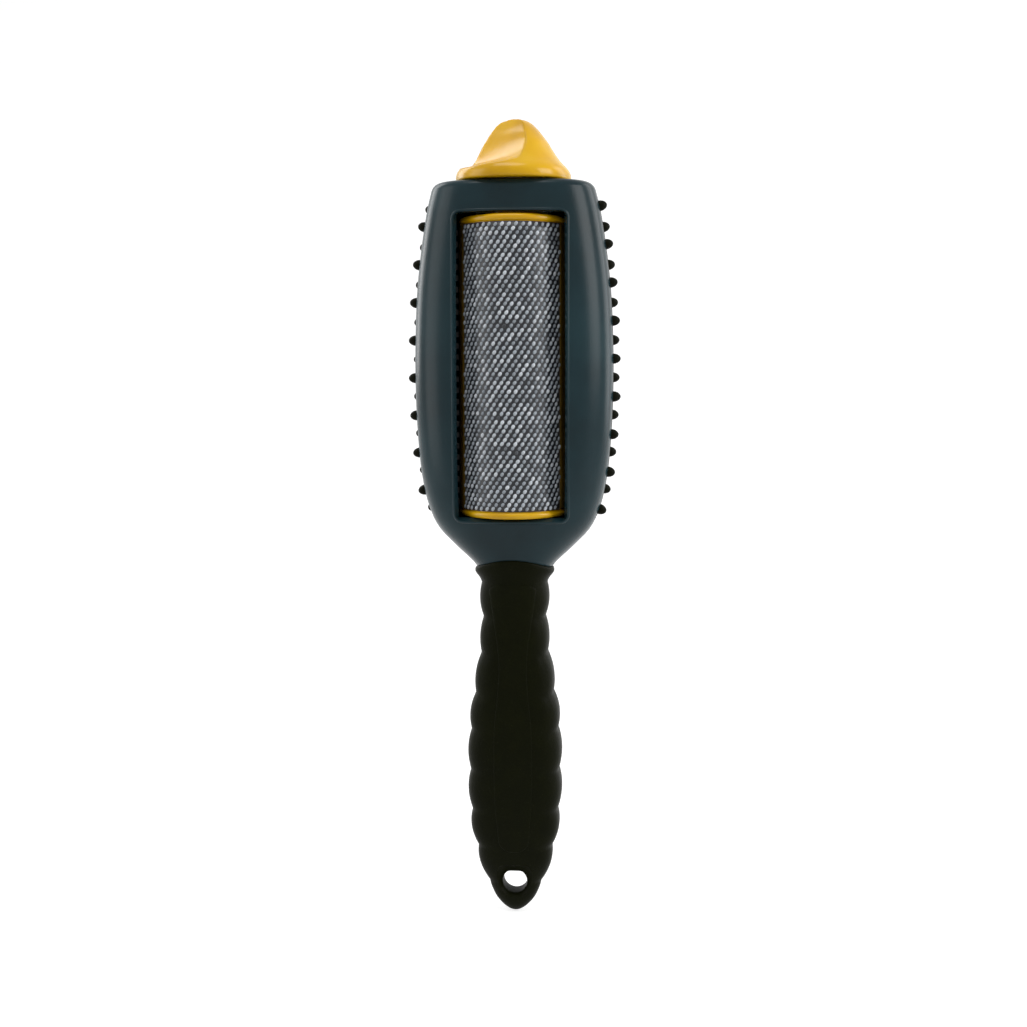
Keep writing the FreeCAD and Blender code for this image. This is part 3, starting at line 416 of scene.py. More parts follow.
# Moulded thermoplastic rubber: near black with a faint olive cast, matt, and slightly dusty over
# about 6 mm; its skin is textured at about 0.4 mm, drawn at 0.6 mm so that it shows.
RUBBER, RUBBER_DUSTY = "#0B0C03", "#121408"


def soft_rubber(name, colour, dusty, gloss_low, gloss_high):
    """Matt rubber with a fine cellular skin."""
    material, tree, shader = blank_material(name)
    dust = noise(tree, 160.0, Detail=5.0, Roughness=0.65)
    coloured(tree, shader, dust, (0.42, colour), (0.78, dusty))
    roughened(tree, shader, dust, gloss_low, gloss_high)
    place = add_node(tree, "ShaderNodeTexCoord").outputs["Object"]
    skin = add_node(tree, "ShaderNodeTexVoronoi", {"Vector": place}, Scale=1700.0)
    bumped(tree, shader, skin.outputs["Distance"], 0.18)
    shader.inputs["IOR"].default_value = 1.50
    shader.inputs["Specular IOR Level"].default_value = 0.05
    return material


nub_rubber = soft_rubber("nub_rubber", RUBBER, RUBBER_DUSTY, 0.40, 0.60)


def studded(obj, seats, material, seed, **sizes):
    """Stands small rounded studs on an object's surface; each seat is (point, outward, along)."""
    tree = bpy.data.node_groups.new(obj.name + "_studs", "GeometryNodeTree")
    tree.interface.new_socket("Geometry", in_out="INPUT", socket_type="NodeSocketGeometry")
    sockets = {}
    for name, kind in (("Length", "Float"), ("Width", "Float"), ("Height", "Float"),
                       ("Scatter", "Float"), ("Facets", "Int"), ("Seed", "Int")):
        sockets[name] = tree.interface.new_socket(name, in_out="INPUT",
                                                  socket_type="NodeSocket" + kind)
    tree.interface.new_socket("Geometry", in_out="OUTPUT", socket_type="NodeSocketGeometry")
    given = add_node(tree, "NodeGroupInput").outputs
    seat = add_node(tree, "GeometryNodeInputNamedAttribute", settings={"data_type": "BOOLEAN"},
                    Name="seat")
    parts = add_node(tree, "GeometryNodeSeparateGeometry",
                     {"Geometry": given["Geometry"], "Selection": socket(seat.outputs, "Attribute")},
                     {"domain": "POINT"})
    ball = add_node(tree, "GeometryNodeMeshIcoSphere", {"Subdivisions": given["Facets"]}, Radius=1.0)
    shape = add_node(tree, "ShaderNodeCombineXYZ",
                     {"X": given["Length"], "Y": given["Width"], "Z": given["Height"]})
    stud = add_node(tree, "GeometryNodeTransform",
                    {"Geometry": ball.outputs["Mesh"], "Scale": shape.outputs[0]})
    facing = None
    for name, axis, pivot in (("outward", "Z", "AUTO"), ("along", "X", "Z")):
        way = add_node(tree, "GeometryNodeInputNamedAttribute",
                       settings={"data_type": "FLOAT_VECTOR"}, Name=name)
        links = {"Vector": socket(way.outputs, "Attribute")}
        if facing:
            links["Rotation"] = facing.outputs[0]
        facing = add_node(tree, "FunctionNodeAlignRotationToVector", links,
                          {"axis": axis, "pivot_axis": pivot})
    limits = {"Seed": given["Seed"]}
    for name, operation in (("Min", "SUBTRACT"), ("Max", "ADD")):
        limit = add_node(tree, "ShaderNodeMath", {1: given["Scatter"]}, {"operation": operation})
        limit.inputs[0].default_value = 1.0
        limits[name] = limit.outputs[0]
    growth = add_node(tree, "FunctionNodeRandomValue", limits, {"data_type": "FLOAT"})
    copies = add_node(tree, "GeometryNodeInstanceOnPoints",
                      {"Points": parts.outputs["Selection"], "Instance": stud.outputs["Geometry"],
                       "Rotation": facing.outputs[0], "Scale": socket(growth.outputs, "Value")})
    chance = add_node(tree, "FunctionNodeRandomValue", {"Seed": given["Seed"]},
                      {"data_type": "FLOAT"})
    shade = add_node(tree, "GeometryNodeStoreNamedAttribute",
                     {"Geometry": copies.outputs["Instances"],
                      "Value": socket(chance.outputs, "Value")},
                     {"data_type": "FLOAT", "domain": "INSTANCE"}, Name="shade")
    both = add_node(tree, "GeometryNodeJoinGeometry", {"Geometry": shade.outputs["Geometry"]})
    tree.links.new(parts.outputs["Inverted"], both.inputs["Geometry"])
    real = add_node(tree, "GeometryNodeRealizeInstances", {"Geometry": both.outputs["Geometry"]})
    coat = add_node(tree, "GeometryNodeSetMaterial", {"Geometry": real.outputs["Geometry"]},
                    Material=material)
    add_node(tree, "NodeGroupOutput", {"Geometry": coat.outputs["Geometry"]})

    mesh = bmesh.new()
    mesh.from_mesh(obj.data)
    first = len(mesh.verts)
    for point, _, _ in seats:
        mesh.verts.new(Vector(point) * MM)
    mesh.to_mesh(obj.data)
    mesh.free()
    for name, kind in (("seat", "BOOLEAN"), ("outward", "FLOAT_VECTOR"), ("along", "FLOAT_VECTOR")):
        obj.data.attributes.new(name, kind, "POINT")
    marks = obj.data.attributes
    for index, (_, out, along) in enumerate(seats, first):
        marks["seat"].data[index].value = True
        marks["outward"].data[index].vector = out
        marks["along"].data[index].vector = along
    studs = obj.modifiers.new("studs", "NODES")
    studs.node_group = tree
    for name, value in sizes.items():
        studs[sockets[name].identifier] = value
    studs[sockets["Seed"].identifier] = seed
    plain(obj)
    obj.data.shade_smooth()
    return obj


# The pad's rounded edge as (way in from its end, depth under the surface).
PAD_EDGE, PAD_EDGE_END = ((0.05, 0.6), (0.12, 0.25), (0.35, 0.06)), 0.8
pad_rows = [(PAD_LOW + way_in, 0.0, 0.0, sunk) for way_in, sunk in PAD_EDGE]
pad_rows += [(height, 0.0, 0.0, 0.0)
             for height in arc_rows(PAD_LOW + PAD_EDGE_END, PAD_HIGH - PAD_EDGE_END, 2.4)]
pad_rows += [(PAD_HIGH - way_in, 0.0, 0.0, sunk) for way_in, sunk in reversed(PAD_EDGE)]
pad_skin = new_object("pad_skin", rear_grid(pad_rows, PAD_COLUMNS),
                      grid_faces(len(pad_rows), PAD_COLUMNS + 1), nub_rubber)
thickened(pad_skin, (0, REAR_MIDDLE, HEAD_MIDDLE), PAD_SKIN)
keep_room(pad_skin, BED_ROOM + 0.05)

nub_seats = []
for row in range(NUB_ROWS):
    height = (PAD_LOW + PAD_HIGH) / 2 + (row - (NUB_ROWS - 1) / 2) * NUB_PITCH
    seam = math.atan2(PARTING_LINE - WIDEST_LINE, parting_half_width(height))
    trail = [head_point(height, angle) for angle in spread(seam, math.pi - seam, TRAIL_STEPS)]
    run = [0.0]
    for before, after in zip(trail, trail[1:]):
        run.append(run[-1] + (after - before).length)
    for column in range(row % 2, NUB_COLUMNS, 2):
        goal = NUB_INSET + (run[-1] - 2 * NUB_INSET) * column / (NUB_COLUMNS - 1)
        index = min(range(1, TRAIL_STEPS), key=lambda at: abs(run[at] - goal))
        beside = (trail[index + 1] - trail[index - 1]).normalized()
        angle = seam + (math.pi - 2 * seam) * index / TRAIL_STEPS
        upward = (head_point(height + 1.5, angle) - head_point(height - 1.5, angle)).normalized()
        out = beside.cross(upward).normalized()
        if out.dot(trail[index] - Vector((0, 0, height))) < 0:
            out = -out
        nub_seats.append((trail[index] - out * NUB_SUNK, out, upward))
studded(pad_skin, nub_seats, nub_rubber, 11, Length=NUB_RADIUS * MM, Width=NUB_RADIUS * MM,
        Height=NUB_HEIGHT * MM, Scatter=0.02, Facets=3)
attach(pad_skin, "housing")
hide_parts("nub_pad")


# --- Drum: tube and end caps -------------------------------------------------------------------
# A moulded yellow polypropylene tube with a bed for each cloth patch, closed by two press-in caps
# whose rims stay bare. The neck of the upper cap carries the knob; the lower one has a stub.
DRUM_RADIUS, DRUM_LOW, DRUM_HIGH, RIM = 16.7, 71.5, 161.5, 2.5
TUBE_BORE, BED_RADIUS, BED_HALF_ANGLE = 13.7, 16.1, 61.5
NECK_RADIUS, STUB_RADIUS, STUB_LOW, KNOB_LOW = 9.0, 5.0, 64.9, 172.6
SCREW_BORE, CAP_WEB, CAP_CHAMFER, TURNED_SIDES = 1.8, 2.0, 0.4, 128
DRUM_CREASE = math.radians(35)
# Polypropylene in a glossy mould: warm yellow, faintly cloudy over about 14 mm, with soft
# highlights and faint scuffs about 2 mm apart. The tube is painted a deeper, duller amber: painted
# shade for its lands, which lie in shadow in the window's recess.
YELLOW, YELLOW_DEEP, YELLOW_PALE = "#EDB606", "#DDA600", "#F2C01C"
SHADED_YELLOW, SHADED_YELLOW_DEEP, SHADED_YELLOW_PALE = "#705614", "#634B10", "#7C601A"


def glossy_plastic(name, colour, deep, pale, gloss):
    """Polypropylene of one roughness, a little higher where it is scuffed."""
    material, tree, shader = blank_material(name)
    coloured(tree, shader, noise(tree, 70.0, Detail=2.0), (0.25, deep), (0.75, pale), (0.5, colour))
    scuff = noise(tree, 420.0, Detail=4.0)
    roughened(tree, shader, scuff, gloss, gloss + 0.07, From_Min=0.35, From_Max=0.7)
    bumped(tree, shader, scuff, 0.02)
    shader.inputs["IOR"].default_value = 1.49
    shader.inputs["Specular IOR Level"].default_value = 0.34
    return material


yellow_polypropylene = glossy_plastic("yellow_polypropylene", YELLOW, YELLOW_DEEP, YELLOW_PALE, 0.19)
# Painted shade: the tube's yellow is darkened to amber to stand for the shade in the window's recess.
shade_painted_polypropylene = glossy_plastic("shade_painted_polypropylene", SHADED_YELLOW, SHADED_YELLOW_DEEP, SHADED_YELLOW_PALE, 0.42)


def turned(name, profile, material):
    """A piece turned about the brush's axis from (radius, height) corners."""
    points = []
    for radius, height in profile:
        points += circle(max(radius, 0.0001), height, TURNED_SIDES)
    faces = grid_faces(len(profile), TURNED_SIDES, ring=True, closed=True)
    obj = cleaned(new_object(name, points, faces, material), merge=0.0000005)
    obj.data.set_sharp_from_angle(angle=DRUM_CREASE)
    return obj


# A rim's section as (way in from the drum's end, way in from its radius), from groove to end.
RIM_BEAD = ((2.3, 0.66), (2.05, 0.62), (1.92, 0.44), (1.72, 0.2), (1.4, 0.04), (1.05, 0.0),
            (0.7, 0.06), (0.4, 0.2), (0.15, 0.45), (0.0, 0.85))
GROOVE_DEPTH, GROOVE_STEP = 0.65, 0.02


def rounded_rim(height, up):
    """Outline of a cap's rim: a full bead with a groove towards the cloth; up is 1 on the top cap."""
    corner = [(DRUM_RADIUS - inset, height - up * below) for below, inset in RIM_BEAD]
    return corner if up > 0 else corner[::-1]


top_profile = [(SCREW_BORE, DRUM_HIGH - RIM), (DRUM_RADIUS - GROOVE_DEPTH, DRUM_HIGH - RIM + GROOVE_STEP),
               *rounded_rim(DRUM_HIGH, 1), (NECK_RADIUS + 0.6, DRUM_HIGH),
               (NECK_RADIUS, DRUM_HIGH + CAP_CHAMFER), (NECK_RADIUS, KNOB_LOW - 0.2),
               (NECK_RADIUS - 0.2, KNOB_LOW), (SCREW_BORE, KNOB_LOW)]
drum_top = turned("drum_top", top_profile, yellow_polypropylene)
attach(drum_top, "drum")
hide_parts("drum_cap_top")

bottom_profile = [(0.0, STUB_LOW), (STUB_RADIUS - CAP_CHAMFER, STUB_LOW),
                  (STUB_RADIUS, STUB_LOW + CAP_CHAMFER), (STUB_RADIUS, DRUM_LOW),
                  *rounded_rim(DRUM_LOW, -1), (DRUM_RADIUS - GROOVE_DEPTH, DRUM_LOW + RIM - GROOVE_STEP),
                  (TUBE_BORE, DRUM_LOW + RIM), (TUBE_BORE - CAP_WEB, DRUM_LOW + RIM),
                  (TUBE_BORE - CAP_WEB, DRUM_LOW + CAP_WEB), (0.0, DRUM_LOW + CAP_WEB)]
drum_bottom = turned("drum_bottom", bottom_profile, yellow_polypropylene)
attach(drum_bottom, "drum")
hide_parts("drum_cap_bottom")

TUBE_SIDES, TUBE_CHAMFER, CHAMFER_HEIGHT = 144, 0.12, 0.15
tube_low, tube_high = DRUM_LOW + RIM, DRUM_HIGH - RIM
tube_points = []
for height, chamfer in ((tube_low, TUBE_CHAMFER), (tube_low + CHAMFER_HEIGHT, 0.0),
                        (tube_high - CHAMFER_HEIGHT, 0.0), (tube_high, TUBE_CHAMFER)):
    for step in range(TUBE_SIDES):
        angle = 360 * step / TUBE_SIDES
        past_patch = (angle - 90) % 180
        on_land = min(past_patch, 180 - past_patch) > BED_HALF_ANGLE
        radius = (DRUM_RADIUS if on_land else BED_RADIUS) - chamfer
        turn = math.radians(angle)
        tube_points.append((radius * math.cos(turn), radius * math.sin(turn), height))
inner_start = len(tube_points)
tube_points += circle(TUBE_BORE, tube_low, TUBE_SIDES) + circle(TUBE_BORE, tube_high, TUBE_SIDES)
tube_faces = (grid_faces(4, TUBE_SIDES, ring=True)
              + grid_faces(2, TUBE_SIDES, ring=True, start=inner_start))
for outer, inner in ((0, inner_start), (3 * TUBE_SIDES, inner_start + TUBE_SIDES)):
    for step in range(TUBE_SIDES):
        right = (step + 1) % TUBE_SIDES
        tube_faces.append((outer + step, outer + right, inner + right, inner + step))
# The tube takes the darkened amber, painted shade for its lands in the window's recess.
drum_sleeve = cleaned(new_object("drum_sleeve", tube_points, tube_faces, shade_painted_polypropylene))
drum_sleeve.data.set_sharp_from_angle(angle=DRUM_CREASE)
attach(drum_sleeve, "drum")
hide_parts("drum_tube")


# --- Lint cloth --------------------------------------------------------------------------------
# Two patches of directional pile cloth glued into the drum's beds: short stiff nylon bristles
# in slanting rows lift lint one way and let it go the other.
CLOTH_RADIUS, CLOTH_HALF_ANGLE, CLOTH_LOW, CLOTH_HIGH = 16.42, 61.2, 73.75, 159.25
CLOTH_COLUMNS, CLOTH_ROWS, BACKING, CLOTH_MIDDLE = 48, 30, 0.28, 116.5
# The tufts stand in a lattice: a pitch along each row, a pitch from row to row, each row's shift
# round the drum, and the slant of the tufts in degrees.
GRAIN_PITCH, ROW_PITCH, ROW_SHIFT, GRAIN_SLANT = 2.03, 1.29, 0.86, 55.0
GRAIN_LIFT, SIDE_MARGIN, END_MARGIN = 0.03, 1.0, 0.8
TURN_JITTER, HEIGHT_JITTER, SLANT_JITTER = 0.3, 0.06, 9
# Grey nylon pile: each tuft's tips catch the light as a bright silver grain over a dark ground;
# the tufts are 1.4 mm long and 1 mm wide, their fibres about 0.3 mm.
PILE_GROUND, PILE_DARK, PILE_MIDDLE, PILE_BRIGHT = "#1A1D22", "#9097A0", "#B8C0C9", "#E4E9F0"


def nylon_pile(name):
    """Pile whose tufts differ by their shade; the backing's shade is nought."""
    material, tree, shader = blank_material(name)
    shade = add_node(tree, "ShaderNodeAttribute", settings={"attribute_name": "shade"})
    coloured(tree, shader, shade.outputs["Fac"], (0.0, PILE_GROUND), (1.0, PILE_BRIGHT),
             (0.001, PILE_DARK), (0.55, PILE_MIDDLE))
    bumped(tree, shader, noise(tree, 3500.0, Detail=2.0), 0.35)
    shader.inputs["Roughness"].default_value = 0.33
    shader.inputs["Sheen Weight"].default_value = 0.15
    return material


lint_pile = nylon_pile("nylon_pile")


def drum_place(angle, height, radius=CLOTH_RADIUS):
    """A point on the drum; the angle is in degrees from +X towards +Y."""
    turn = math.radians(angle)
    return Vector((radius * math.cos(turn), radius * math.sin(turn), height))


for piece_name, centre, seed, stands_for in (("lint_cloth_front", 270, 5, "fabric_front"),
                                             ("lint_cloth_rear", 90, 6, "fabric_rear")):
    angles = spread(centre - CLOTH_HALF_ANGLE, centre + CLOTH_HALF_ANGLE, CLOTH_COLUMNS)
    sheet = [drum_place(angle, height) for height in spread(CLOTH_LOW, CLOTH_HIGH, CLOTH_ROWS)
             for angle in angles]
    cloth = new_object(piece_name, sheet, grid_faces(CLOTH_ROWS + 1, CLOTH_COLUMNS + 1), lint_pile)
    thickened(cloth, (0, 0, CLOTH_MIDDLE), BACKING)
    half_run = math.radians(CLOTH_HALF_ANGLE - SIDE_MARGIN) * CLOTH_RADIUS
    rows = int((CLOTH_HIGH - CLOTH_LOW - END_MARGIN) / ROW_PITCH)
    random.seed(seed)
    grain_seats = []
    for row in range(rows + 1):
        level = (CLOTH_LOW + CLOTH_HIGH) / 2 + (row - rows / 2) * ROW_PITCH
        run = -half_run + (row * ROW_SHIFT) % GRAIN_PITCH
        while run < half_run:
            angle = (centre + math.degrees(run / CLOTH_RADIUS)
                     + random.uniform(-TURN_JITTER, TURN_JITTER))
            height = level + random.uniform(-HEIGHT_JITTER, HEIGHT_JITTER)
            out = drum_place(angle, 0, 1.0)
            round_way = Vector((-out.y, out.x, 0))
            slant = math.radians(GRAIN_SLANT + random.uniform(-SLANT_JITTER, SLANT_JITTER))
            along = round_way * math.cos(slant) + Vector((0, 0, math.sin(slant)))
            grain_seats.append((drum_place(angle, height, CLOTH_RADIUS + GRAIN_LIFT), out, along))
            run += GRAIN_PITCH
    studded(cloth, grain_seats, lint_pile, seed, Length=0.72 * MM, Width=0.50 * MM, Height=0.40 * MM,
            Scatter=0.10, Facets=2)
    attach(cloth, "drum")
    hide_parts(stands_for)


# --- Knob --------------------------------------------------------------------------------------
# The yellow twist knob that turns the drum: a round flange and a bell with two finger scoops
# that leave a thumb ridge. Moulded polypropylene, held on the neck's square key by one screw.
KNOB_PROFILE = ((172.3, 17.0), (172.5, 17.32), (173.0, 17.46), (173.8, 17.48), (174.8, 17.25),
                (175.7, 16.75), (176.6, 16.0), (177.5, 15.15), (178.4, 14.35), (180.3, 12.95),
                (182.1, 11.8), (184.0, 10.65), (185.8, 9.3), (187.6, 7.9), (188.8, 6.75),
                (189.6, 5.9), (190.3, 4.8), (190.8, 3.4), (191.05, 1.7), (191.1, 0.0))
# The front scoop as (height, face's distance from the axis, way it faces in degrees).
FRONT_SCOOP = ((175.0, 40.0, 225.0), (175.4, 18.5, 225.0), (175.8, 16.4, 225.0), (176.3, 14.0, 226.0),
               (176.9, 11.4, 226.0), (177.5, 8.8, 223.0), (178.3, 6.95, 221.0), (179.3, 6.0, 221.2),
               (181.7, 4.73, 224.4), (184.1, 3.75, 226.8), (186.6, 2.95, 227.8), (188.6, 2.1, 230.0),
               (190.0, 1.6, 231.0), (191.1, 1.2, 231.0))
REAR_SCOOP_RADIUS, REAR_SCOOP_AWAY, REAR_SCOOP_HEIGHT, REAR_SCOOP_WAY = 34.0, 31.7, 207.1, 60.0
KNOB_SIDES, KNOB_STEP, SCOOP_EDGE, SCOOP_REACH = 240, 0.2, 0.3, 60.0
SKIRT_RADIUS, NECK_ROOM, SOCKET_RADIUS, SOCKET_DEPTH = 14.5, 9.4, 5.4, 4.0


def soft_least(first, second, softness):
    """The lesser of two sizes with a rounded corner between them."""
    share = max(0.0, min(1.0, 0.5 + (second - first) / (2 * softness)))
    return second + (first - second) * share - softness * share * (1 - share)


scoop_faces = [(height, face) for height, face, _ in FRONT_SCOOP]
scoop_ways = [(height, way) for height, _, way in FRONT_SCOOP]


def knob_radius(height, angle):
    """The knob's radius at a height and angle: the bell, cut back by its two finger scoops."""
    bell = eased(KNOB_PROFILE, height)
    drop = min(REAR_SCOOP_HEIGHT - height, REAR_SCOOP_RADIUS)
    rear_face = REAR_SCOOP_AWAY - math.sqrt(REAR_SCOOP_RADIUS ** 2 - drop ** 2)
    for face, way in ((eased(scoop_faces, height), eased(scoop_ways, height)),
                      (rear_face, REAR_SCOOP_WAY)):
        facing = math.cos(angle - math.radians(way))
        if facing > 0.02:
            cut = min(face / facing, SCOOP_REACH)
            bell = soft_least(bell, cut, min(SCOOP_EDGE, 0.01 + bell / 4))
    return max(bell, 0.0)


knob_foot = KNOB_PROFILE[0][0]
heights = [knob_foot]
for (low, _), (high, _) in zip(KNOB_PROFILE, KNOB_PROFILE[1:]):
    heights += arc_rows(low, high, KNOB_STEP)[1:]
knob_points = []
for height in heights:
    for step in range(KNOB_SIDES):
        angle = 2 * math.pi * step / KNOB_SIDES
        reach = knob_radius(height, angle)
        knob_points.append((reach * math.cos(angle), reach * math.sin(angle), height))
knob_faces = grid_faces(len(heights), KNOB_SIDES, ring=True)
base = len(knob_points)
underside = ((SKIRT_RADIUS, knob_foot), (NECK_ROOM, knob_foot), (NECK_ROOM, KNOB_LOW),
             (SOCKET_RADIUS, KNOB_LOW), (SOCKET_RADIUS, KNOB_LOW + SOCKET_DEPTH),
             (0.0, KNOB_LOW + SOCKET_DEPTH))
for radius, height in underside:
    knob_points += circle(radius, height, KNOB_SIDES)
knob_faces += grid_faces(len(underside), KNOB_SIDES, ring=True, start=base)
for step in range(KNOB_SIDES):
    right = (step + 1) % KNOB_SIDES
    knob_faces.append((step, right, base + right, base + step))
twist_knob = cleaned(new_object("twist_knob", knob_points, knob_faces, yellow_polypropylene))
twist_knob.data.set_sharp_from_angle(angle=math.radians(60))
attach(twist_knob, "drum")
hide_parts("knob")


# --- Grip sleeve -------------------------------------------------------------------------------
# The soft rubber grip moulded over the handle's core. Its edges are scalloped for the fingers, a
# collar arches up round the housing's neck, and a dished eye for a hook goes through the tip.
COLLAR_TOP, ARCH_LOW, ARCH_RISE, ARCH_CHORD = 54.9, 38.0, 3.4, 12.25
SCALLOPS = ((-44.1, 8.15), (-35.5, 11.65), (-32.5, 11.5), (-24.1, 13.84), (-20.9, 13.26), (-12.6, 14.58),
            (-8.2, 13.72), (-3.0, 14.62), (4.6, 13.42), (9.0, 13.96), (16.0, 12.03), (20.4, 12.32),
            (28.6, 10.23), (33.1, 10.72), (39.9, 9.55), (45.4, 10.75), (49.9, 10.15))
GRIP_TIP_WIDTHS = ((-54.0, 0.0), (-53.9, 0.95), (-53.6, 1.75), (-53.1, 2.6), (-52.2, 3.8), (-50.7, 5.2),
                   (-49.2, 6.3), (-47.2, 7.25), (-45.6, 7.85), (-44.1, 8.15))
COLLAR_WIDTHS = ((49.9, 10.15), (51.2, 10.7), (52.6, 11.6), (53.7, 12.2), (54.9, 12.25))
GRIP_DEPTHS = ((-54.0, 0.3), (-53.9, 1.1), (-53.6, 1.9), (-53.0, 2.7), (-51.5, 3.7), (-49.0, 4.5),
               (-44.0, 5.4), (-36.8, 7.1), (-28.0, 8.5), (-19.5, 9.5), (-8.0, 10.1), (0.0, 10.2),
               (12.0, 9.9), (24.6, 9.4), (43.0, 9.4), (50.0, 10.1), (53.7, 10.8), (54.9, 10.9))
GRIP_SQUARENESS = ((-54.0, 2.2), (-44.0, 2.6), (-30.0, 3.0), (30.0, 3.0), (46.0, 2.5), (54.9, 2.1))
EYE_HEIGHT, EYE_RADIUS, EYE_FLAT = -43.8, 3.75, 3.15


def grip_half_width(height):
    """Half the grip's width: arcs that swell from notch to notch."""
    if height <= GRIP_TIP_WIDTHS[-1][0]:
        return eased(GRIP_TIP_WIDTHS, height)
    if height >= COLLAR_WIDTHS[0][0]:
        return eased(COLLAR_WIDTHS, height)
    for index in range(0, len(SCALLOPS) - 2, 2):
        (z0, w0), (z1, w1), (z2, w2) = SCALLOPS[index:index + 3]
        if height <= z2:
            return (w0 * (height - z1) * (height - z2) / ((z0 - z1) * (z0 - z2))
                    + w1 * (height - z0) * (height - z2) / ((z1 - z0) * (z1 - z2))
                    + w2 * (height - z0) * (height - z1) / ((z2 - z0) * (z2 - z1)))
    return SCALLOPS[-1][1]


def arch_lift(x, height):
    """How far the collar's arch lifts the grip's surface at a place."""
    radius = (ARCH_CHORD ** 2 + ARCH_RISE ** 2) / (2 * ARCH_RISE)
    rise = math.sqrt(radius ** 2 - min(abs(x), ARCH_CHORD) ** 2) - (radius - ARCH_RISE)
    share = max(0.0, min(1.0, (height - ARCH_LOW) / (COLLAR_TOP - ARCH_LOW)))
    return rise * share ** 2


def grip_point(height, angle, drawn_in=0.0, lowered=0.0):
    """A point of the grip's surface: a squared oval that fades the notches out across the face."""
    wide, deep = grip_half_width(height) - drawn_in, eased(GRIP_DEPTHS, height) - drawn_in
    square = eased(GRIP_SQUARENESS, height)
    across, along = math.cos(angle), math.sin(angle)
    if wide < 0.01 or deep < 0.01:
        return Vector((0, 0, height))
    reach = (abs(across / wide) ** square + abs(along / deep) ** square) ** (-1 / square)
    x = reach * across
    return Vector((x, reach * along, height + arch_lift(x, height) - lowered))


# The collar's rounded lip as (way in, way down), ending inside it.
COLLAR_EDGE = ((0.0, 0.5), (0.06, 0.26), (0.24, 0.07), (0.5, 0.0), (0.85, 0.02), (1.1, 0.2),
               (1.3, 0.7), (2.4, 3.0))
GRIP_SIDES, CLOSE_BELOW = 96, 2.5
grip_heights = ([-54.0, -53.93, -53.8, -53.6, -53.35, -53.0, -52.6, -52.1]
                + arc_rows(-51.5, COLLAR_TOP - 0.6, 0.62))
grip_rows = [(height, 0.0, 0.0) for height in grip_heights]
grip_rows += [(COLLAR_TOP, drawn, low) for drawn, low in COLLAR_EDGE]
grip_points = []
for height, drawn, low in grip_rows:
    for step in range(GRIP_SIDES):
        grip_points.append(grip_point(height, 2 * math.pi * (step + 0.5) / GRIP_SIDES, drawn, low))
grip_faces = grid_faces(len(grip_rows), GRIP_SIDES, ring=True)
last = len(grip_points) - GRIP_SIDES
grip_points.append(Vector((0, 0, COLLAR_TOP - CLOSE_BELOW)))
for step in range(GRIP_SIDES):
    grip_faces.append((last + step, last + (step + 1) % GRIP_SIDES, len(grip_points) - 1))
grip_rubber = soft_rubber("grip_rubber", "#0B0D00", "#111302", 0.38, 0.52)
grip_body = cleaned(new_object("grip_body", grip_points, grip_faces, grip_rubber))

# The eye is cut by a plug of (place front to back, radius) that flares at both faces and is
# flattened at its top.
EYE_PROFILE = ((-9.0, 10.0), (-6.6, 7.35), (-5.4, 5.95), (-4.8, 5.15), (-4.2, 4.5), (-3.7, 4.02),
               (-3.3, 3.82), (-2.8, 3.75), (1.2, 3.75), (2.0, 3.9), (2.8, 4.25), (3.5, 4.75),
               (4.2, 5.35), (4.8, 5.95), (5.4, 6.6), (6.6, 7.9), (9.0, 10.4))
EYE_SIDES, FLAT_GROWTH, FLAT_ROUNDING = 64, 0.8, 0.5
eye_points = []
for y, radius in EYE_PROFILE:
    flat = EYE_FLAT + FLAT_GROWTH * (radius - EYE_RADIUS)
    for step in range(EYE_SIDES):
        angle = 2 * math.pi * step / EYE_SIDES
        up = soft_least(radius * math.sin(angle), flat, FLAT_ROUNDING)
        eye_points.append((radius * math.cos(angle), y, EYE_HEIGHT + up))
eye_faces = grid_faces(len(EYE_PROFILE), EYE_SIDES, ring=True)
eye_faces += [tuple(range(EYE_SIDES)), tuple(range(len(eye_points) - EYE_SIDES, len(eye_points)))]
eye_cutter = cleaned(new_object("eye_cutter", eye_points, eye_faces))
eye_cut = grip_body.modifiers.new("eye", "BOOLEAN")
eye_cut.operation = "DIFFERENCE"
eye_cut.solver = "EXACT"
eye_cut.object = eye_cutter
plain(grip_body)
bpy.data.objects.remove(eye_cutter, do_unlink=True)
grip_body.data.shade_smooth()
grip_body.data.set_sharp_from_angle(angle=math.radians(32))
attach(grip_body, "housing")
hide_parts("grip_sleeve")


# --- Grip panels -------------------------------------------------------------------------------
# A waisted inlay in each face of the grip, a softer rubber with a fine seam round it, pressed in
# where the palm and the fingers lie.
PANEL_WIDTHS = ((-29.2, 4.83), (-20.0, 5.6), (-10.9, 6.0), (6.3, 5.86), (15.5, 4.95), (24.6, 4.4),
                (31.0, 4.8), (37.5, 5.7), (43.0, 6.5), (48.85, 7.3))
PANEL_TOE, PANEL_CROWN, PANEL_PROUD = 4.0, 2.2, 0.16
PANEL_WALL, PANEL_EDGE, PANEL_ROWS, GRIP_MIDDLE = 0.8, 0.45, 120, 10


def panel_half_width(height):
    """Half a panel's width, rounded off at both ends."""
    low, high = PANEL_WIDTHS[0], PANEL_WIDTHS[-1]
    if height < low[0]:
        return low[1] * math.sqrt(max(0.0, 1 - ((low[0] - height) / PANEL_TOE) ** 2))
    if height > high[0]:
        return high[1] * math.sqrt(max(0.0, 1 - ((height - high[0]) / PANEL_CROWN) ** 2))
    return eased(PANEL_WIDTHS, height)


def grip_depth(x, height):
    """Half the grip's depth at a place on its face."""
    level = height
    for _ in range(4):
        level = height - arch_lift(x, level)
    wide, deep = grip_half_width(level), eased(GRIP_DEPTHS, level)
    square = eased(GRIP_SQUARENESS, level)
    return deep * (1 - min(abs(x) / wide, 1.0) ** square) ** (1 / square)


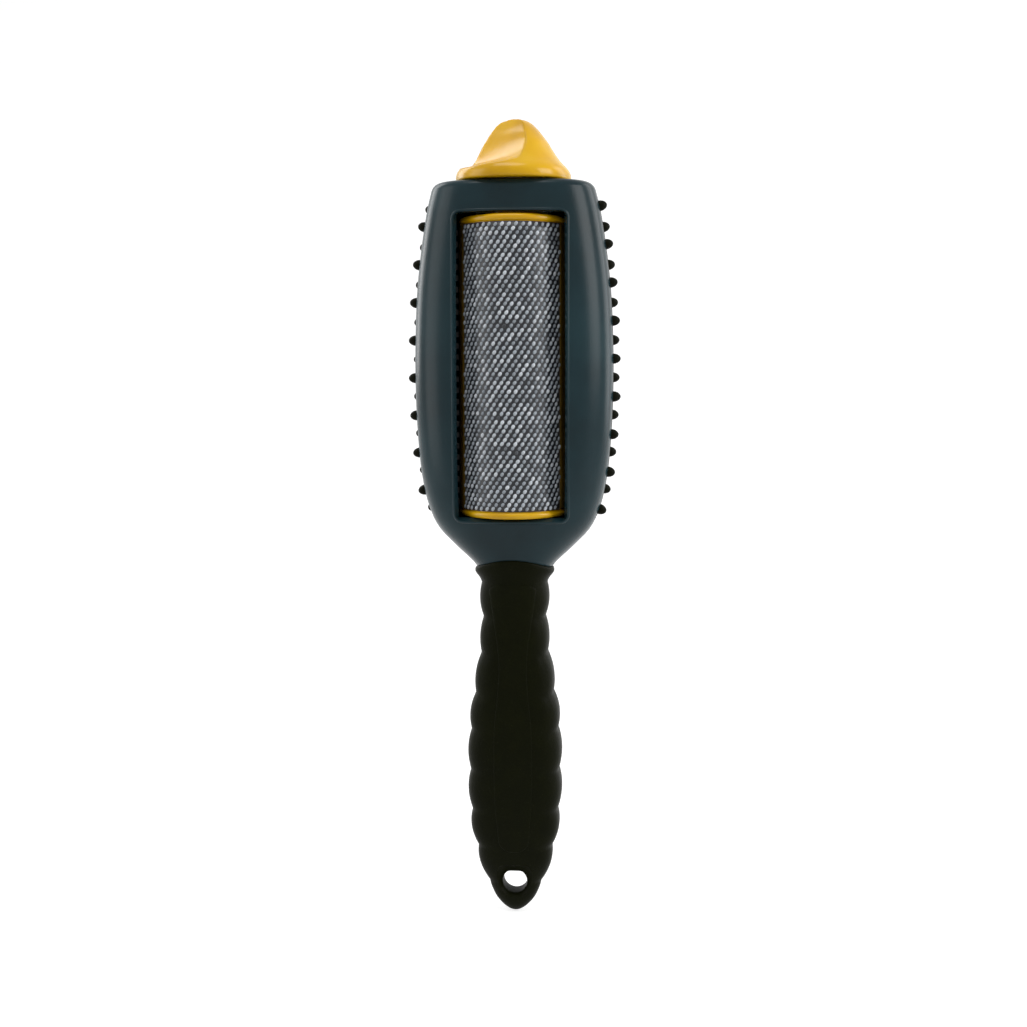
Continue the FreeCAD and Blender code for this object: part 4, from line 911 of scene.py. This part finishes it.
inlay_rubber = soft_rubber("inlay_rubber", "#0C0E01", "#121403", 0.44, 0.58)
panel_low, panel_high = PANEL_WIDTHS[0][0] - PANEL_TOE, PANEL_WIDTHS[-1][0] + PANEL_CROWN
for piece_name, way, stands_for in (("grip_inlay_front", -1, "grip_panel_front"),
                                    ("grip_inlay_rear", 1, "grip_panel_rear")):
    ends = [0.5 - 0.5 * math.cos(math.pi * share) for share in spread(0, 1, PANEL_ROWS)]
    shares = [-1.0, -0.985, -0.96, -0.92, *spread(-0.86, 0.86, 14), 0.92, 0.96, 0.985, 1.0]
    panel_points = []
    for end in ends:
        height = panel_low + (panel_high - panel_low) * end
        half = panel_half_width(height)
        for share in shares:
            from_edge = min(half * (1 - abs(share)), height - panel_low, panel_high - height)
            edge = min(max(0.0, from_edge / PANEL_EDGE), 1.0)
            drop = PANEL_EDGE * (1 - math.sqrt(1 - (1 - edge) ** 2))
            x = half * share
            panel_points.append((x, way * (grip_depth(x, height) + PANEL_PROUD - drop), height))
    inlay = new_object(piece_name, panel_points, grid_faces(len(ends), len(shares)), inlay_rubber)
    thickened(inlay, (0, 0, GRIP_MIDDLE), PANEL_WALL)
    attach(inlay, "housing")
    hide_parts(stands_for)


# --- Inner pieces ------------------------------------------------------------------------------
# What the housing hides: the glass-filled core, acetal bushes, the felt ring under the knob, the
# two combs that clean the cloth as it turns past, and the screws. They keep their solid forms.
def inner_finish(name, colour, other, roughness, scale, depth, metal=0.0):
    """A plain finish of two close colours over one noise."""
    material, tree, shader = blank_material(name)
    grain = noise(tree, scale, Detail=4.0)
    coloured(tree, shader, grain, (0.35, colour), (0.65, other))
    bumped(tree, shader, grain, 0.3, depth)
    shader.inputs["Roughness"].default_value = roughness
    shader.inputs["Metallic"].default_value = metal
    return material


# Turned acetal is waxy white, clouded over 2 mm; pressed felt shows its fibres at about 1 mm;
# glass-filled nylon is dull with pale flecks 0.7 mm apart; zinc plate on steel is a soft bluish
# mirror, mottled at about 1 mm.
turned_acetal = inner_finish("turned_acetal", "#E4E3DC", "#D8D7CF", 0.35, 500.0, 0.0001)
pressed_felt = inner_finish("pressed_felt", "#2B2D2E", "#3C3F40", 0.95, 1100.0, 0.0006)
filled_nylon = inner_finish("glass_filled_nylon", "#1B1C1C", "#2A2B2B", 0.6, 1500.0, 0.0002)
zinc_plate = inner_finish("zinc_plate", "#B9BCC2", "#A7ABB3", 0.28, 900.0, 0.00005, metal=1.0)
for material, names in ((turned_acetal, ("top_bush", "bottom_bush")), (pressed_felt, ("felt_washer",)),
                        (filled_nylon, ("handle_core", "wiper_left", "wiper_right")),
                        (zinc_plate, ("shell_screws", "tang_screws", "knob_screw"))):
    for name in names:
        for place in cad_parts[name].material_slots:
            place.material = material


# --- Floor, light and camera -------------------------------------------------------------------
# A pale seamless sweep under and behind the brush, five soft lamps and a plain world. The paper
# and the world are lighter where they are seen, straight, mirrored or through, than as lights.
FLOOR_LEVEL, BACK_WALL, FLOOR_FRONT, SWEEP_RADIUS, STAGE_HALF = -54.2, 900.0, -2400.0, 350.0, 2600.0
SWEEP_STEPS, PAPER_SEEN, WORLD_PLAIN, WORLD_SEEN = 12, 0.74, 0.22, 0.86


def background_light(tree, plain_level, seen_level):
    """A strength of its own for the rays that draw the background, straight, mirrored or through."""
    rays = add_node(tree, "ShaderNodeLightPath").outputs
    seen = add_node(tree, "ShaderNodeMath", {0: rays["Is Camera Ray"], 1: rays["Is Glossy Ray"]},
                    {"operation": "MAXIMUM"})
    seen = add_node(tree, "ShaderNodeMath", {0: seen.outputs[0], 1: rays["Is Transmission Ray"]},
                    {"operation": "MAXIMUM"})
    level = add_node(tree, "ShaderNodeMapRange", {"Value": seen.outputs[0]},
                     To_Min=plain_level, To_Max=seen_level)
    return level.outputs["Result"]


# Matt white paper, its fibres too fine to show.
paper_material, paper_tree, paper_shader = blank_material("white_paper")
paper_shader.inputs["Base Color"].default_value = linear("#C4C4C4")
paper_shader.inputs["Roughness"].default_value = 0.9
paper_shader.inputs["Emission Color"].default_value = linear("#FFFFFF")
paper_tree.links.new(background_light(paper_tree, 0.0, PAPER_SEEN),
                     paper_shader.inputs["Emission Strength"])
sweep = [(FLOOR_FRONT, FLOOR_LEVEL), (BACK_WALL - SWEEP_RADIUS, FLOOR_LEVEL)]
for step in range(1, SWEEP_STEPS + 1):
    turn = math.pi / 2 * step / SWEEP_STEPS
    sweep.append((BACK_WALL - SWEEP_RADIUS + SWEEP_RADIUS * math.sin(turn),
                  FLOOR_LEVEL + SWEEP_RADIUS * (1 - math.cos(turn))))
sweep.append((BACK_WALL, STAGE_HALF))
backdrop = new_object("backdrop", [(x, y, z) for y, z in sweep for x in (-STAGE_HALF, STAGE_HALF)],
                      grid_faces(len(sweep), 2), paper_material)

# Each lamp's place, the point it faces, its size in millimetres and its power in watts.
for name, where, aim, wide, high, power in (
        ("key_lamp", (780, -240, 380), (0, 0, 90), 400, 560, 3.9),
        ("fill_lamp", (-780, -240, 300), (0, 0, 80), 420, 700, 2.1),
        ("top_lamp", (-60, -260, 900), (0, 0, 100), 520, 320, 2.2),
        ("rim_lamp_left", (-520, 330, 380), (0, 0, 90), 260, 600, 1.8),
        ("rim_lamp_right", (540, 300, 320), (0, 0, 90), 260, 600, 1.2)):
    lamp_data = bpy.data.lights.new(name, "AREA")
    lamp_data.shape = "RECTANGLE"
    lamp_data.size, lamp_data.size_y, lamp_data.energy = wide * MM, high * MM, power
    lamp = bpy.data.objects.new(name, lamp_data)
    bpy.context.scene.collection.objects.link(lamp)
    lamp.location = Vector(where) * MM
    lamp.rotation_euler = (Vector(aim) - Vector(where)).to_track_quat("-Z", "Y").to_euler()

world = bpy.data.worlds.new("studio")
world.use_nodes = True
bpy.context.scene.world = world
plain_light = world.node_tree.nodes["Background"]
plain_light.inputs["Color"].default_value = linear("#FFFFFF")
world.node_tree.links.new(background_light(world.node_tree, WORLD_PLAIN, WORLD_SEEN),
                          plain_light.inputs["Strength"])
bpy.context.scene.view_settings.view_transform = "Standard"

CAMERA_AWAY, CAMERA_TURN, CAMERA_HEIGHT, CAMERA_PITCH, CAMERA_ROLL = 400.0, 5.0, 117.5, 4.3, 0.2
camera_data = bpy.data.cameras.new("camera")
camera_data.lens, camera_data.sensor_width = 45.63, 36.0
camera_data.shift_x, camera_data.shift_y = -0.0006, -0.05
camera_data.clip_start, camera_data.clip_end = 0.01, 20.0
camera = bpy.data.objects.new("camera", camera_data)
bpy.context.scene.collection.objects.link(camera)
turn = math.radians(CAMERA_TURN)
camera.location = Vector((CAMERA_AWAY * math.sin(turn), -CAMERA_AWAY * math.cos(turn),
                          CAMERA_HEIGHT)) * MM
camera.rotation_euler = (math.radians(90 - CAMERA_PITCH), math.radians(CAMERA_ROLL), turn)
bpy.context.scene.camera = camera
